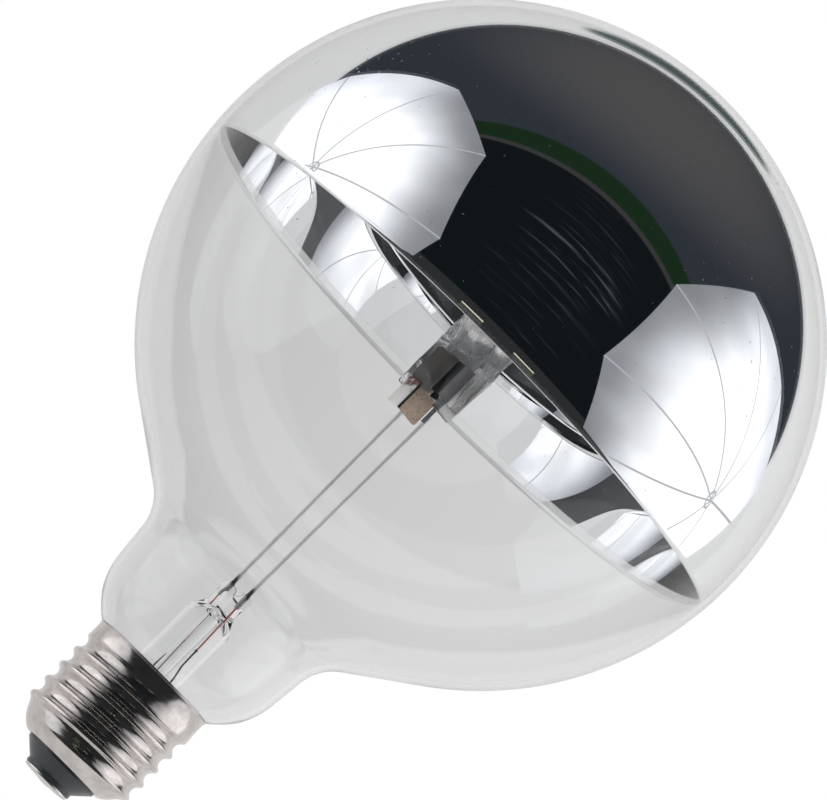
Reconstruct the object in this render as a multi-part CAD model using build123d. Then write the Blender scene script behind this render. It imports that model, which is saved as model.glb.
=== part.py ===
from build123d import *
from math import ceil, cos, hypot, pi, radians, sin, sqrt, tan
import os

# Half-mirror globe lamp with a screw cap and a halogen capsule.
# Millimetres. Z runs along the lamp's axis from the cap to the crown, and Z = 0 is the lowest
# point of the centre contact. The photograph looks along +Y, with +X to the right.

# Globe and neck
globe_dia = 125.0
glass_wall = 1.2
rim_drop = 6.7              # mirror's rim below the globe's centre
mirror_coat = 0.12          # the real film is a few microns
throat_slope = 54.5         # cone below the globe, in degrees from the axis
neck_radius = 19.35         # end of the neck's slight taper
neck_z = 38.8
neck_slope = 6.0            # the taper, in degrees from the axis
waist_z = 49.32             # where the cone and the taper would meet; sets the length of 174 mm
waist_fillet = 9.4
fillet_share = 0.95         # most of a straight run that the waist's fillet may take
neck_round_in = 1.45        # the round below the taper, half way down
neck_round_drop = 5.3
entry_flare_out = 1.55      # the last of that round, just above the collar
entry_flare_rise = 0.45
neck_end_drop = 1.0         # end of the neck's round, below the collar's top
seal_z = 21.4               # neck's bottom end, fused to the stem's flare

# Screw cap, size E27
cap_top_z = 28.05
cap_bottom_z = 4.95
sheet = 0.3
thread_pitch = 3.629
crest_radius = 13.15
thread_depth = 1.05
collar_step = 0.17          # collar's outside, in from the crests
collar_low_z = 25.3
cement_margin = 0.8
cement_top_thick = 0.48     # between the neck and the collar
cement_low_thick = 1.4      # between the neck's end and the thread's roots
bead_height = 0.5
bead_rise = 0.17
groove_z = 21.15            # a groove's height on the +X side
groove_top_turns = 0.95     # thread ends, in turns along the helix from that groove
groove_low_turns = -3.42
runout_turns = 0.45
least_rise = 1e-4           # keeps the arcs of the thread finite where it has run out
shoulder_top_z = 9.0
shoulder_foot_radius = 9.0
shoulder_bulge = 0.45
opening_radius = 8.05       # hole left by the turned-in lower edge
edge_tuck = 0.05            # rise of the outline from the opening to the shoulder
thread_rows = 10            # outline points to each pitch
thread_sections = 28

# Insulator and centre contact
insulator_slack = 0.15      # inside the opening
insulator_band = 0.5
insulator_foot_radius = 5.13
insulator_foot_band = 0.86
insulator_top_z = 8.0
insulator_rim = 0.25        # bevel where the insulator sits on the turned-in edge
insulator_fit = 0.09        # between the insulator's side and the shell
dish_depth = 1.5
dish_rim = 0.5
eyelet_radius = 1.3
eyelet_bore = 0.9
eyelet_flange = 2.1
eyelet_flange_thick = 0.35
contact_radius = 4.9
contact_top_z = 1.0
contact_rim_z = 0.6
contact_face_z = 0.16
contact_dome = 0.07         # rise of the dome half way from the eyelet to the rim
solder_radius = 1.5
solder_top_z = 2.0

# Stem: flare, tube and press
stem_shift = 0.55           # the mount stands a little off the axis
tube_radius = 4.83
tube_wall = 0.85
flare_top_z = 27.2
flare_thick = 1.0
flare_throat = 1.1          # how far the flare has opened part of the way down
flare_throat_rise = 2.0     # height of that place above the land
flare_fall = 0.25           # slope with which the flare runs out on to the land
rim_round = 0.25
press_low_z = 41.0
press_waist_z = 44.6
press_width = 7.6
press_thick = 3.2
press_top_z = 47.4
lobe_radius = 1.65
lobe_z = 48.3
bore_tip = 1.2
exhaust_radius = 1.7
exhaust_bore = 1.0
exhaust_tip_z = 14.2
exhaust_top_z = 41.9
exhaust_hole = 0.8
exhaust_hole_z = 43.4

# Wires of the stem
burner_turn = -48.0         # the pair's plane, turned about Z
lead_dia = 0.8
lead_foot_x = 2.62          # half the distance between the leads at the press
lead_foot_z = 46.2
seal_wire_dia = 0.42
outer_lead_dia = 0.36
knot_radius = 0.32
knot_z = 36.1
knot_cut = 0.12
knot_left_bearing = 117.7   # round the exhaust tube, in degrees
knot_left_gap = 0.39        # from the exhaust tube's glass
knot_right_bearing = -40.3
knot_right_gap = 1.05
centre_lead_bearings = (105.0, 101.6)
centre_lead_gaps = (0.35, 0.55)
centre_lead_heights = (29.0, 16.0)
centre_lead_drop = 3.2      # where that lead is on the axis, below the exhaust tube's tip
centre_lead_bend = 2.5
side_lead_bearings = (-37.7, -28.1, -26.2)
side_lead_gaps = (1.08, 1.7, 1.81)
side_lead_heights = (32.4, 28.5, 24.0)
side_lead_knee_in = 5.43    # the lead's last bend, in from the solder, beside it and above it
side_lead_knee_y = -0.9
side_lead_knee_rise = 2.5
side_lead_bend = 2.0
side_solder_radius = 0.7
side_solder_gap = 0.12      # the drop's clearance in the hollow of its crest

# Capsule
capsule_shift = -0.18
capsule_radius = 5.9
capsule_wall = 0.9
pinch_width = 12.5
pinch_thick = 6.0
pinch_corner = 1.1
pinch_low_z = 96.7
pinch_height = 10.9
shoulder_height = 5.8       # from the slab to the round body
body_height = 13.6
bore_drop = 1.0             # the bore reaches down into the pinch's shoulder
bore_bevel = 2.6
bore_floor_radius = 3.5
capsule_tip = 2.4
capsule_tip_end = 0.5
capsule_tip_radius = 1.3
foot_height = 2.3           # legs at the pinch's two ends
foot_width = 0.65
foil_thick = 0.1
foil_cover = 1.0            # slab above the foils
foil_tail = 0.65            # what the foils reach out below the quartz
foil_left_x = (-5.1, 1.1)
foil_left_y = -1.45
foil_right_x = (0.3, 4.6)
foil_right_y = 0.0
tab_thick = 0.25
tab_left = 3.55
tab_right = 5.2
tab_corner_x = -1.75
tab_height = 6.0
tab_clearance = 0.1
tab_fold = 0.22             # outer radius of the fold
tab_slot = 0.4              # slot in the cross leaf for the foil's tail
tab_lead_y = 0.3
tab_lead_rise = 4.0         # how far up the tab the lead runs
strip_width = 0.95
strip_x = 4.1
strip_height = 5.2
strip_lead_offset = 0.2     # the lead's centre beside the strip's
strip_lead_rise = 1.6       # how far up the strip the lead runs
pin_dia = 0.6
pin_x = 2.4
pin_lap = 2.0
pin_bend = 0.45
coil_radius = 1.15
coil_wire_dia = 0.3
coil_pitch = 1.25
coil_turns = 7.0
coil_lift = 3.6             # coil's lower end above the shoulder
pin_seat = 0.02

# Clearances between pieces that are fused, bonded or soldered, and of cutting shapes
bond_gap = 0.03
grip_gap = 0.01
socket_gap = 0.04
cut_margin = 1.0            # how far a cutting shape runs past the glass

root_radius = crest_radius - thread_depth
collar_radius = crest_radius - collar_step
insulator_radius = opening_radius - insulator_slack
neck_end_radius = collar_radius - sheet - cement_top_thick
seal_radius = root_radius - sheet - cement_low_thick
side_solder_z = groove_z - 1.5 * thread_pitch       # behind a crest on the +X side
side_solder_r = crest_radius - sheet - side_solder_radius - side_solder_gap
globe_radius = globe_dia / 2
waist_radius = neck_radius + (waist_z - neck_z) * tan(radians(neck_slope))
throat_reach = globe_radius - waist_radius * cos(radians(throat_slope))
globe_z = waist_z + throat_reach / sin(radians(throat_slope))
overall_length = globe_z + globe_radius
pinch_web_z = pinch_low_z + foot_height
pinch_top_z = pinch_low_z + pinch_height
capsule_shoulder_z = pinch_top_z + shoulder_height
capsule_dome_z = capsule_shoulder_z + body_height
foil_top_z = pinch_top_z - foil_cover
coil_low_z = capsule_shoulder_z + coil_lift


def burner_frame(shift):
    """Frame of the lead pair: its X runs through both leads, its Y across them."""
    return Pos(shift, 0, 0) * Rot(0, 0, burner_turn)


def spin(outline):
    """Solid of revolution about Z from a closed outline in the XZ plane."""
    return revolve(make_face(outline), Axis.Z)


def polygon(*points):
    """Closed straight-sided outline in the XZ plane, from pairs of radius and height."""
    return Polyline(*[(r, 0, z) for r, z in points], close=True)


def rod(start, end, dia):
    """Straight round wire with square ends."""
    path = Line(start, end)
    return sweep((Plane(origin=path @ 0, z_dir=path % 0) * Circle(dia / 2)), path)


def bent_rod(points, dia, bend):
    """Round wire along straight runs joined by arcs of one radius."""
    path = FilletPolyline(*points, radius=bend)
    return sweep(Plane(origin=path @ 0, z_dir=path % 0) * Circle(dia / 2), path)


def glass_outline(inset):
    """Half outline of the globe and neck in the XZ plane, moved in by the wall."""
    ball = globe_radius - inset
    cone = radians(throat_slope)
    lean = radians(neck_slope)
    touch = (ball * cos(cone), 0, globe_z - ball * sin(cone))
    top = (0, 0, globe_z + ball)
    side = (ball * cos(cone / 2), 0, globe_z + ball * sin(cone / 2))
    taper_end = (neck_radius - inset, 0, neck_z)
    reach = touch[0] - taper_end[0] - (touch[2] - neck_z) * tan(lean)
    corner_z = touch[2] - reach / (tan(cone) - tan(lean))
    corner = (taper_end[0] + (corner_z - neck_z) * tan(lean), 0, corner_z)
    crown = ThreePointArc(top, side, touch)
    shortest = min((Vector(*corner) - Vector(*end)).length for end in (touch, taper_end))
    widest_fillet = fillet_share * shortest / tan((cone - lean) / 2)
    throat = FilletPolyline(touch, corner, taper_end, radius=min(waist_fillet + inset, widest_fillet))
    entry = (neck_end_radius - inset, 0, cap_top_z - neck_end_drop)
    shoulder = Spline(
        taper_end,
        (neck_radius - inset - neck_round_in, 0, neck_z - neck_round_drop),
        (neck_end_radius - inset + entry_flare_out, 0, cap_top_z + entry_flare_rise),
        entry,
        tangents=(-Vector(sin(lean), 0, cos(lean)), Vector(0, 0, -1)),
    )
    seal = (seal_radius - inset, 0, seal_z)
    return [crown, *throat.edges(), shoulder, Line(entry, seal)], seal


def glass_globe():
    """Blown bulb: one wall from the crown to the seal inside the cap."""
    outside, outer_end = glass_outline(0)
    inside, inner_end = glass_outline(glass_wall)
    axis_line = Line((0, 0, overall_length), (0, 0, overall_length - glass_wall))
    seal_line = Line(outer_end, inner_end)
    return spin(outside + inside + [axis_line, seal_line])


def crown_mirror():
    """Silver film on the inside of the globe, down to a level rim."""
    outer = globe_radius - glass_wall - grip_gap
    inner = outer - mirror_coat
    film = Sphere(outer) - Sphere(inner)
    span = 2 * globe_dia
    keep = Pos(0, 0, span / 2 - rim_drop) * Box(span, span, span)
    return Pos(0, 0, globe_z) * (film & keep)


def fade(share):
    """Smooth step from 0 to 1."""
    held = min(max(share, 0.0), 1.0)
    return held * held * (3 - 2 * held)


def rolled_radius(turn, z):
    """Outside radius of the rolled thread at a share of a turn and a height."""
    place = (z - groove_z) / thread_pitch - turn
    near = round(place)
    helix = turn + near
    side = 1 if place > near else -1
    crest_helix = helix + side / 2
    depth = crest_radius - root_radius
    groove = crest_radius - depth * fade((groove_top_turns - helix) / runout_turns)
    crest = root_radius + depth * fade((crest_helix - groove_low_turns) / runout_turns)
    rise = max(crest - groove, least_rise)
    half = thread_pitch / 2
    arc = (half**2 + rise**2) / (4 * rise)
    away = abs(place - near) * thread_pitch
    if away < half / 2:
        return groove + arc - sqrt(arc**2 - away**2)
    return groove + rise - arc + sqrt(arc**2 - (half - away) ** 2)


def shoulder_circle():
    """Centre and radius of the arc from the thread's root down to the turned-in edge."""
    low = Vector(shoulder_foot_radius, 0, cap_bottom_z + edge_tuck)
    high = Vector(root_radius, 0, shoulder_top_z)
    half = (high - low) / 2
    arc = (half.length**2 + shoulder_bulge**2) / (2 * shoulder_bulge)
    out = Vector(half.Z, 0, -half.X) / half.length
    return low + half + out * (shoulder_bulge - arc), arc


def shoulder_radius(z, inset=0.0):
    """Outline below the thread, or the same curve moved in by an even inset."""
    centre, arc = shoulder_circle()
    return centre.X + sqrt((arc - inset) ** 2 - (z - centre.Z) ** 2)


def shell_radius(turn, z):
    """Outside radius of the cap: shoulder, thread and plain collar."""
    radius = rolled_radius(turn, z)
    if z < shoulder_top_z:
        radius -= root_radius - shoulder_radius(z)
    collar_start = collar_low_z - thread_pitch / 2
    share = (z - collar_start) / (collar_low_z - collar_start)
    return radius - (crest_radius - collar_radius) * fade(share)


def inner_point(outline, index):
    """Point on the sheet's inside, square to the outside."""
    before = outline[max(index - 1, 0)]
    after = outline[min(index + 1, len(outline) - 1)]
    run = after[0] - before[0]
    climb = after[1] - before[1]
    length = hypot(run, climb)
    radius, z = outline[index]
    return radius - sheet * climb / length, z + sheet * run / length


def shell_section(turn):
    """Closed section through the sheet metal at one angle."""
    angle = 2 * pi * turn
    low = cap_bottom_z + edge_tuck
    rows = ceil((collar_low_z - low) / thread_pitch * thread_rows)
    heights = [low + (collar_low_z - low) * row / rows for row in range(rows + 1)]
    outline = [(shell_radius(turn, z), z) for z in heights]
    inside = [inner_point(outline, index) for index in range(rows + 1)]
    inside[-1] = (collar_radius - sheet, collar_low_z)
    steps = [row / rows for row in range(rows + 1)]
    bead_low = cap_top_z - bead_height

    def at(point):
        return Vector(point[0] * cos(angle), point[0] * sin(angle), point[1])

    foot = at((opening_radius, cap_bottom_z))
    foot_inside = at((opening_radius, cap_bottom_z + sheet))
    brim = at((collar_radius, cap_top_z))
    brim_inside = at((collar_radius - sheet, cap_top_z))
    bead_mid = at((collar_radius + bead_rise, cap_top_z - bead_height / 2))
    bead_foot = at((collar_radius, bead_low))
    edges = [
        Edge.make_line(foot, at(outline[0])),
        Edge.make_spline([at(point) for point in outline], parameters=steps),
        Edge.make_line(at(outline[-1]), bead_foot),
        Edge.make_three_point_arc(bead_foot, bead_mid, brim),
        Edge.make_line(brim, brim_inside),
        Edge.make_line(brim_inside, at(inside[-1])),
        Edge.make_spline([at(point) for point in reversed(inside)], parameters=steps),
        Edge.make_line(at(inside[0]), foot_inside),
        Edge.make_line(foot_inside, foot),
    ]
    return Wire(edges)


def screw_shell():
    """Thin rolled shell: sections round the axis, closed on the first one."""
    sections = [shell_section(step / thread_sections) for step in range(thread_sections)]
    return Solid.make_loft(sections + sections[:1])


def cap_insulator():
    """Moulded insulator, seated in the shell's turned-in lower edge."""
    cone_z = cap_bottom_z - insulator_band
    foot_z = contact_top_z
    seat_z = cap_bottom_z + sheet + bond_gap
    inset = sheet + insulator_fit
    flange_z = seat_z + insulator_rim
    hole = eyelet_radius + bond_gap
    dish_radius = eyelet_flange + dish_rim
    dish_z = insulator_top_z - dish_depth
    middle_z = (flange_z + insulator_top_z) / 2
    corners = [
        (shoulder_radius(insulator_top_z, inset), insulator_top_z),
        (dish_radius + dish_depth, insulator_top_z),
        (dish_radius, dish_z),
        (hole, dish_z),
        (hole, foot_z),
        (insulator_foot_radius, foot_z),
        (insulator_foot_radius, foot_z + insulator_foot_band),
        (insulator_radius, cone_z),
        (insulator_radius, seat_z),
        (shoulder_radius(flange_z, inset) - insulator_rim, seat_z),
        (shoulder_radius(flange_z, inset), flange_z),
    ]
    wall = ThreePointArc(
        (corners[-1][0], 0, corners[-1][1]),
        (shoulder_radius(middle_z, inset), 0, middle_z),
        (corners[0][0], 0, corners[0][1]),
    )
    return spin([Polyline(*[(r, 0, z) for r, z in corners]), wall])


def centre_contact():
    """Domed contact plate with its eyelet, flanged over inside the insulator."""
    flange_z = insulator_top_z - dish_depth + bond_gap
    top_z = flange_z + eyelet_flange_thick
    plate_z = contact_top_z - bond_gap
    dome_point = ((contact_radius + eyelet_bore) / 2, 0, contact_face_z + contact_dome)
    outline = [
        Line((eyelet_bore, 0, contact_face_z), (eyelet_bore, 0, top_z)),
        Line((eyelet_bore, 0, top_z), (eyelet_flange, 0, top_z)),
        Line((eyelet_flange, 0, top_z), (eyelet_flange, 0, flange_z)),
        Line((eyelet_flange, 0, flange_z), (eyelet_radius, 0, flange_z)),
        Line((eyelet_radius, 0, flange_z), (eyelet_radius, 0, plate_z)),
        Line((eyelet_radius, 0, plate_z), (contact_radius, 0, plate_z)),
        Line((contact_radius, 0, plate_z), (contact_radius, 0, contact_rim_z)),
        ThreePointArc((contact_radius, 0, contact_rim_z), dome_point, (eyelet_bore, 0, contact_face_z)),
    ]
    return spin(outline)


def contact_solder():
    """Solder drop that fills the eyelet and stands out of the contact."""
    plug = eyelet_bore - grip_gap
    skin_z = contact_face_z - grip_gap
    ball = (solder_radius**2 + skin_z**2) / (2 * skin_z)
    middle = (solder_radius / 2, 0, ball - sqrt(ball**2 - (solder_radius / 2) ** 2))
    outline = [
        ThreePointArc((0, 0, 0), middle, (solder_radius, 0, skin_z)),
        Line((solder_radius, 0, skin_z), (plug, 0, skin_z)),
        Line((plug, 0, skin_z), (plug, 0, solder_top_z)),
        Line((plug, 0, solder_top_z), (0, 0, solder_top_z)),
        Line((0, 0, solder_top_z), (0, 0, 0)),
    ]
    return spin(outline)


def neck_end_at(z):
    """Outside radius of the neck's end inside the cap."""
    entry_z = cap_top_z - neck_end_drop
    return seal_radius + (neck_end_radius - seal_radius) * (z - seal_z) / (entry_z - seal_z)


def basing_cement():
    """Ring of cement between the neck and the cap."""
    collar_inside = collar_radius - sheet - bond_gap
    root_inside = root_radius - sheet - bond_gap
    low = seal_z + cement_margin
    high = cap_top_z - neck_end_drop - bond_gap
    step_low = collar_low_z - (collar_inside - root_inside)
    return spin(
        polygon(
            (neck_end_at(low) + bond_gap, low),
            (root_inside, low),
            (root_inside, step_low),
            (collar_inside, collar_low_z),
            (collar_inside, high),
            (neck_end_at(high) + bond_gap, high),
        )
    )


def press_oval(z):
    """Section of the pressed glass: a flat bar with round ends."""
    return Plane.XY.offset(z) * SlotOverall(press_width, press_thick)


def stem_glass():
    """Flare, tube and press in one piece of glass, with its exhaust hole."""
    rim_top = seal_z - bond_gap
    rim_low = rim_top - flare_thick
    inner = tube_radius - tube_wall
    rim_radius = seal_radius + stem_shift
    land_radius = rim_radius - glass_wall - 2 * stem_shift
    outer_curve = Spline(
        (tube_radius, 0, flare_top_z),
        (tube_radius + flare_throat, 0, rim_top + flare_throat_rise),
        (land_radius, 0, rim_top),
        tangents=(Vector(0, 0, -1), Vector(1, 0, -flare_fall)),
    )
    inner_curve = Spline(
        (inner, 0, flare_top_z),
        (inner + flare_throat, 0, rim_low + flare_throat_rise),
        (land_radius, 0, rim_low),
        tangents=(Vector(0, 0, -1), Vector(1, 0, -flare_fall)),
    )
    outline = [
        outer_curve,
        Line((land_radius, 0, rim_top), (rim_radius, 0, rim_top)),
        ThreePointArc(
            (rim_radius, 0, rim_top),
            (rim_radius + rim_round, 0, (rim_top + rim_low) / 2),
            (rim_radius, 0, rim_low),
        ),
        Line((rim_radius, 0, rim_low), (land_radius, 0, rim_low)),
        inner_curve,
        Line((inner, 0, flare_top_z), (inner, 0, press_low_z - bore_tip)),
        Line((inner, 0, press_low_z - bore_tip), (0, 0, press_low_z)),
        Line((0, 0, press_low_z), (0, 0, press_low_z + bore_tip)),
        Line((0, 0, press_low_z + bore_tip), (tube_radius, 0, press_low_z)),
        Line((tube_radius, 0, press_low_z), (tube_radius, 0, flare_top_z)),
    ]
    tube = Rot(0, 0, 180) * spin(outline)
    round_end = Plane.XY.offset(press_low_z) * Circle(tube_radius)
    bar_end = press_oval(press_waist_z)
    taper = loft(Sketch() + [round_end, bar_end])
    bar = extrude(press_oval(press_waist_z), press_top_z - press_waist_z)
    glass = tube + taper + bar
    for side in (-1, 1):
        glass += Pos(side * lead_foot_x, 0, lobe_z) * Sphere(lobe_radius)
    channel = Pos(0, 0, exhaust_top_z) * Cylinder(
        exhaust_bore, exhaust_hole_z - exhaust_top_z, align=(Align.CENTER, Align.CENTER, Align.MIN)
    )
    mouth = Pos(0, 0, exhaust_hole_z) * Rot(90, 0, 0) * Cylinder(
        exhaust_hole, tube_radius, align=(Align.CENTER, Align.CENTER, Align.MIN)
    )
    socket_low = press_low_z - bore_tip - cut_margin
    socket = Pos(0, 0, socket_low) * Cylinder(
        exhaust_radius + grip_gap,
        exhaust_top_z - socket_low,
        align=(Align.CENTER, Align.CENTER, Align.MIN),
    )
    glass = burner_frame(stem_shift) * (glass - channel - mouth - socket)
    for side in (-1, 1):
        glass -= support_lead(side, grip_gap)
        glass -= seal_wire(side, grip_gap)
    return glass


def exhaust_tube():
    """Pumping tube in the stem, open into the press and sealed off in the cap."""
    top_z = exhaust_top_z - grip_gap
    tip_z = exhaust_tip_z + exhaust_radius
    tube = Pos(0, 0, tip_z) * Cylinder(
        exhaust_radius, top_z - tip_z, align=(Align.CENTER, Align.CENTER, Align.MIN)
    )
    tube += Pos(0, 0, tip_z) * Sphere(exhaust_radius)
    tube -= Pos(0, 0, tip_z) * Cylinder(
        exhaust_bore, top_z - tip_z + cut_margin, align=(Align.CENTER, Align.CENTER, Align.MIN)
    )
    return Pos(stem_shift, 0, 0) * tube


def lead_foot(side):
    """Where a support lead's lower end sits in the press."""
    return (burner_frame(stem_shift) * Pos(side * lead_foot_x, 0, lead_foot_z)).position


def tab_lead_place():
    """Left lead's place against the tab's cross leaf, in the capsule's frame."""
    return tab_corner_x - tab_thick - lead_dia / 2 - grip_gap, tab_lead_y


def strip_lead_place():
    """Right lead's place behind the strip, in the capsule's frame."""
    return strip_x - strip_lead_offset, foil_right_y - foil_thick / 2 + lead_dia / 2 + grip_gap


def lead_head(side):
    """Where a support lead's upper end is welded."""
    if side < 0:
        x, y = tab_lead_place()
        z = pinch_web_z - tab_height + tab_lead_rise
    else:
        x, y = strip_lead_place()
        z = pinch_web_z - strip_height + strip_lead_rise
    return (burner_frame(capsule_shift) * Pos(x, y, z)).position


def support_lead(side, grow=0.0):
    """Stout nickel lead from the press to the capsule."""
    return rod(lead_foot(side), lead_head(side), lead_dia + 2 * grow)


def beside_exhaust(bearing, distance, z):
    """Point round the exhaust tube, at a distance from its glass."""
    reach = exhaust_radius + distance
    return Vector(stem_shift + reach * cos(radians(bearing)), reach * sin(radians(bearing)), z)


def knot_place(side):
    """Weld between a seal wire and its outer lead."""
    if side < 0:
        return beside_exhaust(knot_left_bearing, knot_left_gap, knot_z)
    return beside_exhaust(knot_right_bearing, knot_right_gap, knot_z)


def seal_wire(side, grow=0.0):
    """Copper-clad wire through the press."""
    top = lead_foot(side) - Vector(0, 0, grip_gap)
    low = knot_place(side) + Vector(0, 0, knot_cut)
    return rod(top, low, seal_wire_dia + 2 * grow)


def weld_knot(side):
    """Bead where the wires are welded, cut flat under the seal wire."""
    ball = Sphere(knot_radius)
    wire = lead_foot(side) - knot_place(side)
    seat = Plane(origin=(0, 0, 0), z_dir=wire).offset(knot_cut - grip_gap)
    return Pos(knot_place(side)) * split(ball, seat, keep=Keep.BOTTOM)


def outer_lead_centre():
    """Wire from the left knot down to the centre contact."""
    points = [
        knot_place(-1),
        *map(beside_exhaust, centre_lead_bearings, centre_lead_gaps, centre_lead_heights),
        (0, 0, exhaust_tip_z - centre_lead_drop),
        (0, 0, solder_top_z + grip_gap),
    ]
    return weld_knot(-1) + bent_rod(points, outer_lead_dia, centre_lead_bend)


def side_lead_knee():
    """Last bend of the side wire before its solder."""
    return Vector(side_solder_r - side_lead_knee_in, side_lead_knee_y, side_solder_z + side_lead_knee_rise)


def outer_lead_side():
    """Wire from the right knot to the shell's inside."""
    end = (side_solder_r, 0, side_solder_z)
    points = [
        knot_place(1),
        *map(beside_exhaust, side_lead_bearings, side_lead_gaps, side_lead_heights),
        side_lead_knee(),
        end,
    ]
    return weld_knot(1) + bent_rod(points, outer_lead_dia, side_lead_bend)


def side_solder():
    """Drop of solder that joins the side wire to the shell."""
    drop = Pos(side_solder_r, 0, side_solder_z) * Sphere(side_solder_radius)
    end = Vector(side_solder_r, 0, side_solder_z)
    way = (side_lead_knee() - end).normalized()
    wire = rod(end + way * 2 * side_solder_radius, end, outer_lead_dia + 2 * grip_gap)
    socket = Pos(end) * Sphere(outer_lead_dia / 2 + socket_gap)
    return drop - wire - socket


def pinch_section(z):
    """Section of the pinch: a slab with round corners."""
    return Plane.XY.offset(z) * RectangleRounded(pinch_width, pinch_thick, pinch_corner)


def domed_outline(radius, *floor):
    """Half outline of a round-topped body in the capsule, from its floor up to the dome."""
    rise = radius * sqrt(0.5)
    side = (radius, 0, capsule_dome_z)
    top = (0, 0, capsule_dome_z + radius)
    return [Polyline(top, *floor, side), ThreePointArc(side, (rise, 0, capsule_dome_z + rise), top)]


def capsule_quartz():
    """Quartz capsule: pinch with two feet, round body, dome and sealed tip."""
    pinch = extrude(pinch_section(pinch_low_z), pinch_top_z - pinch_low_z)
    gap = pinch_width - 2 * foot_width
    pinch -= Pos(0, 0, pinch_low_z) * Box(gap, pinch_thick * 2, foot_height * 2)
    ring = Plane.XY.offset(capsule_shoulder_z) * Circle(capsule_radius)
    shoulder = loft(Sketch() + [pinch_section(pinch_top_z), ring])
    bore = capsule_radius - capsule_wall
    outside = domed_outline(
        capsule_radius,
        (0, 0, capsule_shoulder_z),
        (capsule_radius, 0, capsule_shoulder_z),
    )
    tip_z = capsule_dome_z + sqrt(capsule_radius**2 - capsule_tip_radius**2) - capsule_wall / 2
    tip = Pos(0, 0, tip_z) * Cone(
        capsule_tip_radius, capsule_tip_end, capsule_tip, align=(Align.CENTER, Align.CENTER, Align.MIN)
    )
    low_z = capsule_shoulder_z - bore_drop
    inside = domed_outline(
        bore,
        (0, 0, low_z),
        (bore_floor_radius, 0, low_z),
        (bore, 0, low_z + bore_bevel),
    )
    quartz = pinch + shoulder + spin(outside) + tip - spin(inside)
    for side in (-1, 1):
        quartz -= pin_hole(side)
        quartz -= foil_plate(side, grip_gap)
    return burner_frame(capsule_shift) * quartz


def foil_plate(side, grow=0.0):
    """Molybdenum foil in the capsule's frame."""
    span = foil_left_x if side < 0 else foil_right_x
    y = foil_left_y if side < 0 else foil_right_y
    low = pinch_web_z - foil_tail
    return Pos(sum(span) / 2, y, (low + foil_top_z) / 2) * Box(
        span[1] - span[0] + 2 * grow, foil_thick + 2 * grow, foil_top_z - low + 2 * grow
    )


def foil(side):
    """Molybdenum foil in the pinch."""
    return burner_frame(capsule_shift) * foil_plate(side)


def weld_tab():
    """Strip folded to an angle: one leaf on the left foil, one across, with the lead in it."""
    top_z = pinch_web_z - tab_clearance
    back = foil_left_y - foil_thick / 2 - grip_gap
    front = back - tab_thick
    left_leaf = Pos(tab_corner_x - tab_left, front, top_z - tab_height) * Box(
        tab_left, tab_thick, tab_height, align=(Align.MIN, Align.MIN, Align.MIN)
    )
    cross_leaf = Pos(tab_corner_x - tab_thick, front, top_z - tab_height) * Box(
        tab_thick, tab_right, tab_height, align=(Align.MIN, Align.MIN, Align.MIN)
    )
    slot = Pos(tab_corner_x - tab_thick, back, top_z) * Box(
        2 * tab_left, tab_slot, 2 * foil_tail, align=(Align.CENTER, Align.MIN, Align.CENTER)
    )
    angle = left_leaf + cross_leaf
    fold = angle.edges().filter_by(Axis.Z).sort_by(lambda edge: edge.center().Y - edge.center().X)[0]
    angle = fillet(fold, tab_fold)
    return burner_frame(capsule_shift) * (angle - slot)


def weld_strip():
    """Narrow strip from the right foil down to the right lead."""
    top_z = pinch_web_z - tab_clearance
    back = foil_right_y - foil_thick / 2 - grip_gap
    return burner_frame(capsule_shift) * Pos(strip_x, back, top_z) * Box(
        strip_width, tab_thick, strip_height, align=(Align.CENTER, Align.MAX, Align.MAX)
    )


def pin_base_y(side):
    """Depth of a pin's foot, against its foil's back."""
    y = foil_left_y if side < 0 else foil_right_y
    return y + foil_thick / 2 + pin_dia / 2 + pin_seat


def coil_end_z(side):
    """Height of the filament's upper end (left pin) or lower end (right pin)."""
    return coil_low_z + (coil_pitch * coil_turns if side < 0 else 0)


def pin_foot(side):
    """Lower end of a filament pin, on the back of its foil, in the capsule's frame."""
    return Vector(side * pin_x, pin_base_y(side), foil_top_z - pin_lap)


def pin_hole(side):
    """Round hole that the quartz leaves for a pin."""
    foot = pin_foot(side) - Vector(0, 0, grip_gap)
    return Pos(foot) * Cylinder(
        pin_dia / 2 + grip_gap, capsule_shoulder_z - foot.Z, align=(Align.CENTER, Align.CENTER, Align.MIN)
    )


def filament_pin(side):
    """Pin that holds one end of the filament."""
    foot = pin_foot(side)
    rise = Vector(foot.X, foot.Y, capsule_shoulder_z)
    reach = coil_radius + coil_wire_dia / 2 + pin_seat
    top_z = coil_end_z(side)
    points = [foot, rise, (foot.X, 0, top_z), (side * reach, 0, top_z)]
    return burner_frame(capsule_shift) * bent_rod(points, pin_dia, pin_bend)


def filament_coil():
    """Tungsten coil on the lamp's axis."""
    path = Helix(coil_pitch, coil_pitch * coil_turns, coil_radius)
    wire = sweep(Plane(origin=path @ 0, z_dir=path % 0) * Circle(coil_wire_dia / 2), path, is_frenet=True)
    return burner_frame(capsule_shift) * Pos(0, 0, coil_low_z) * wire


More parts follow.
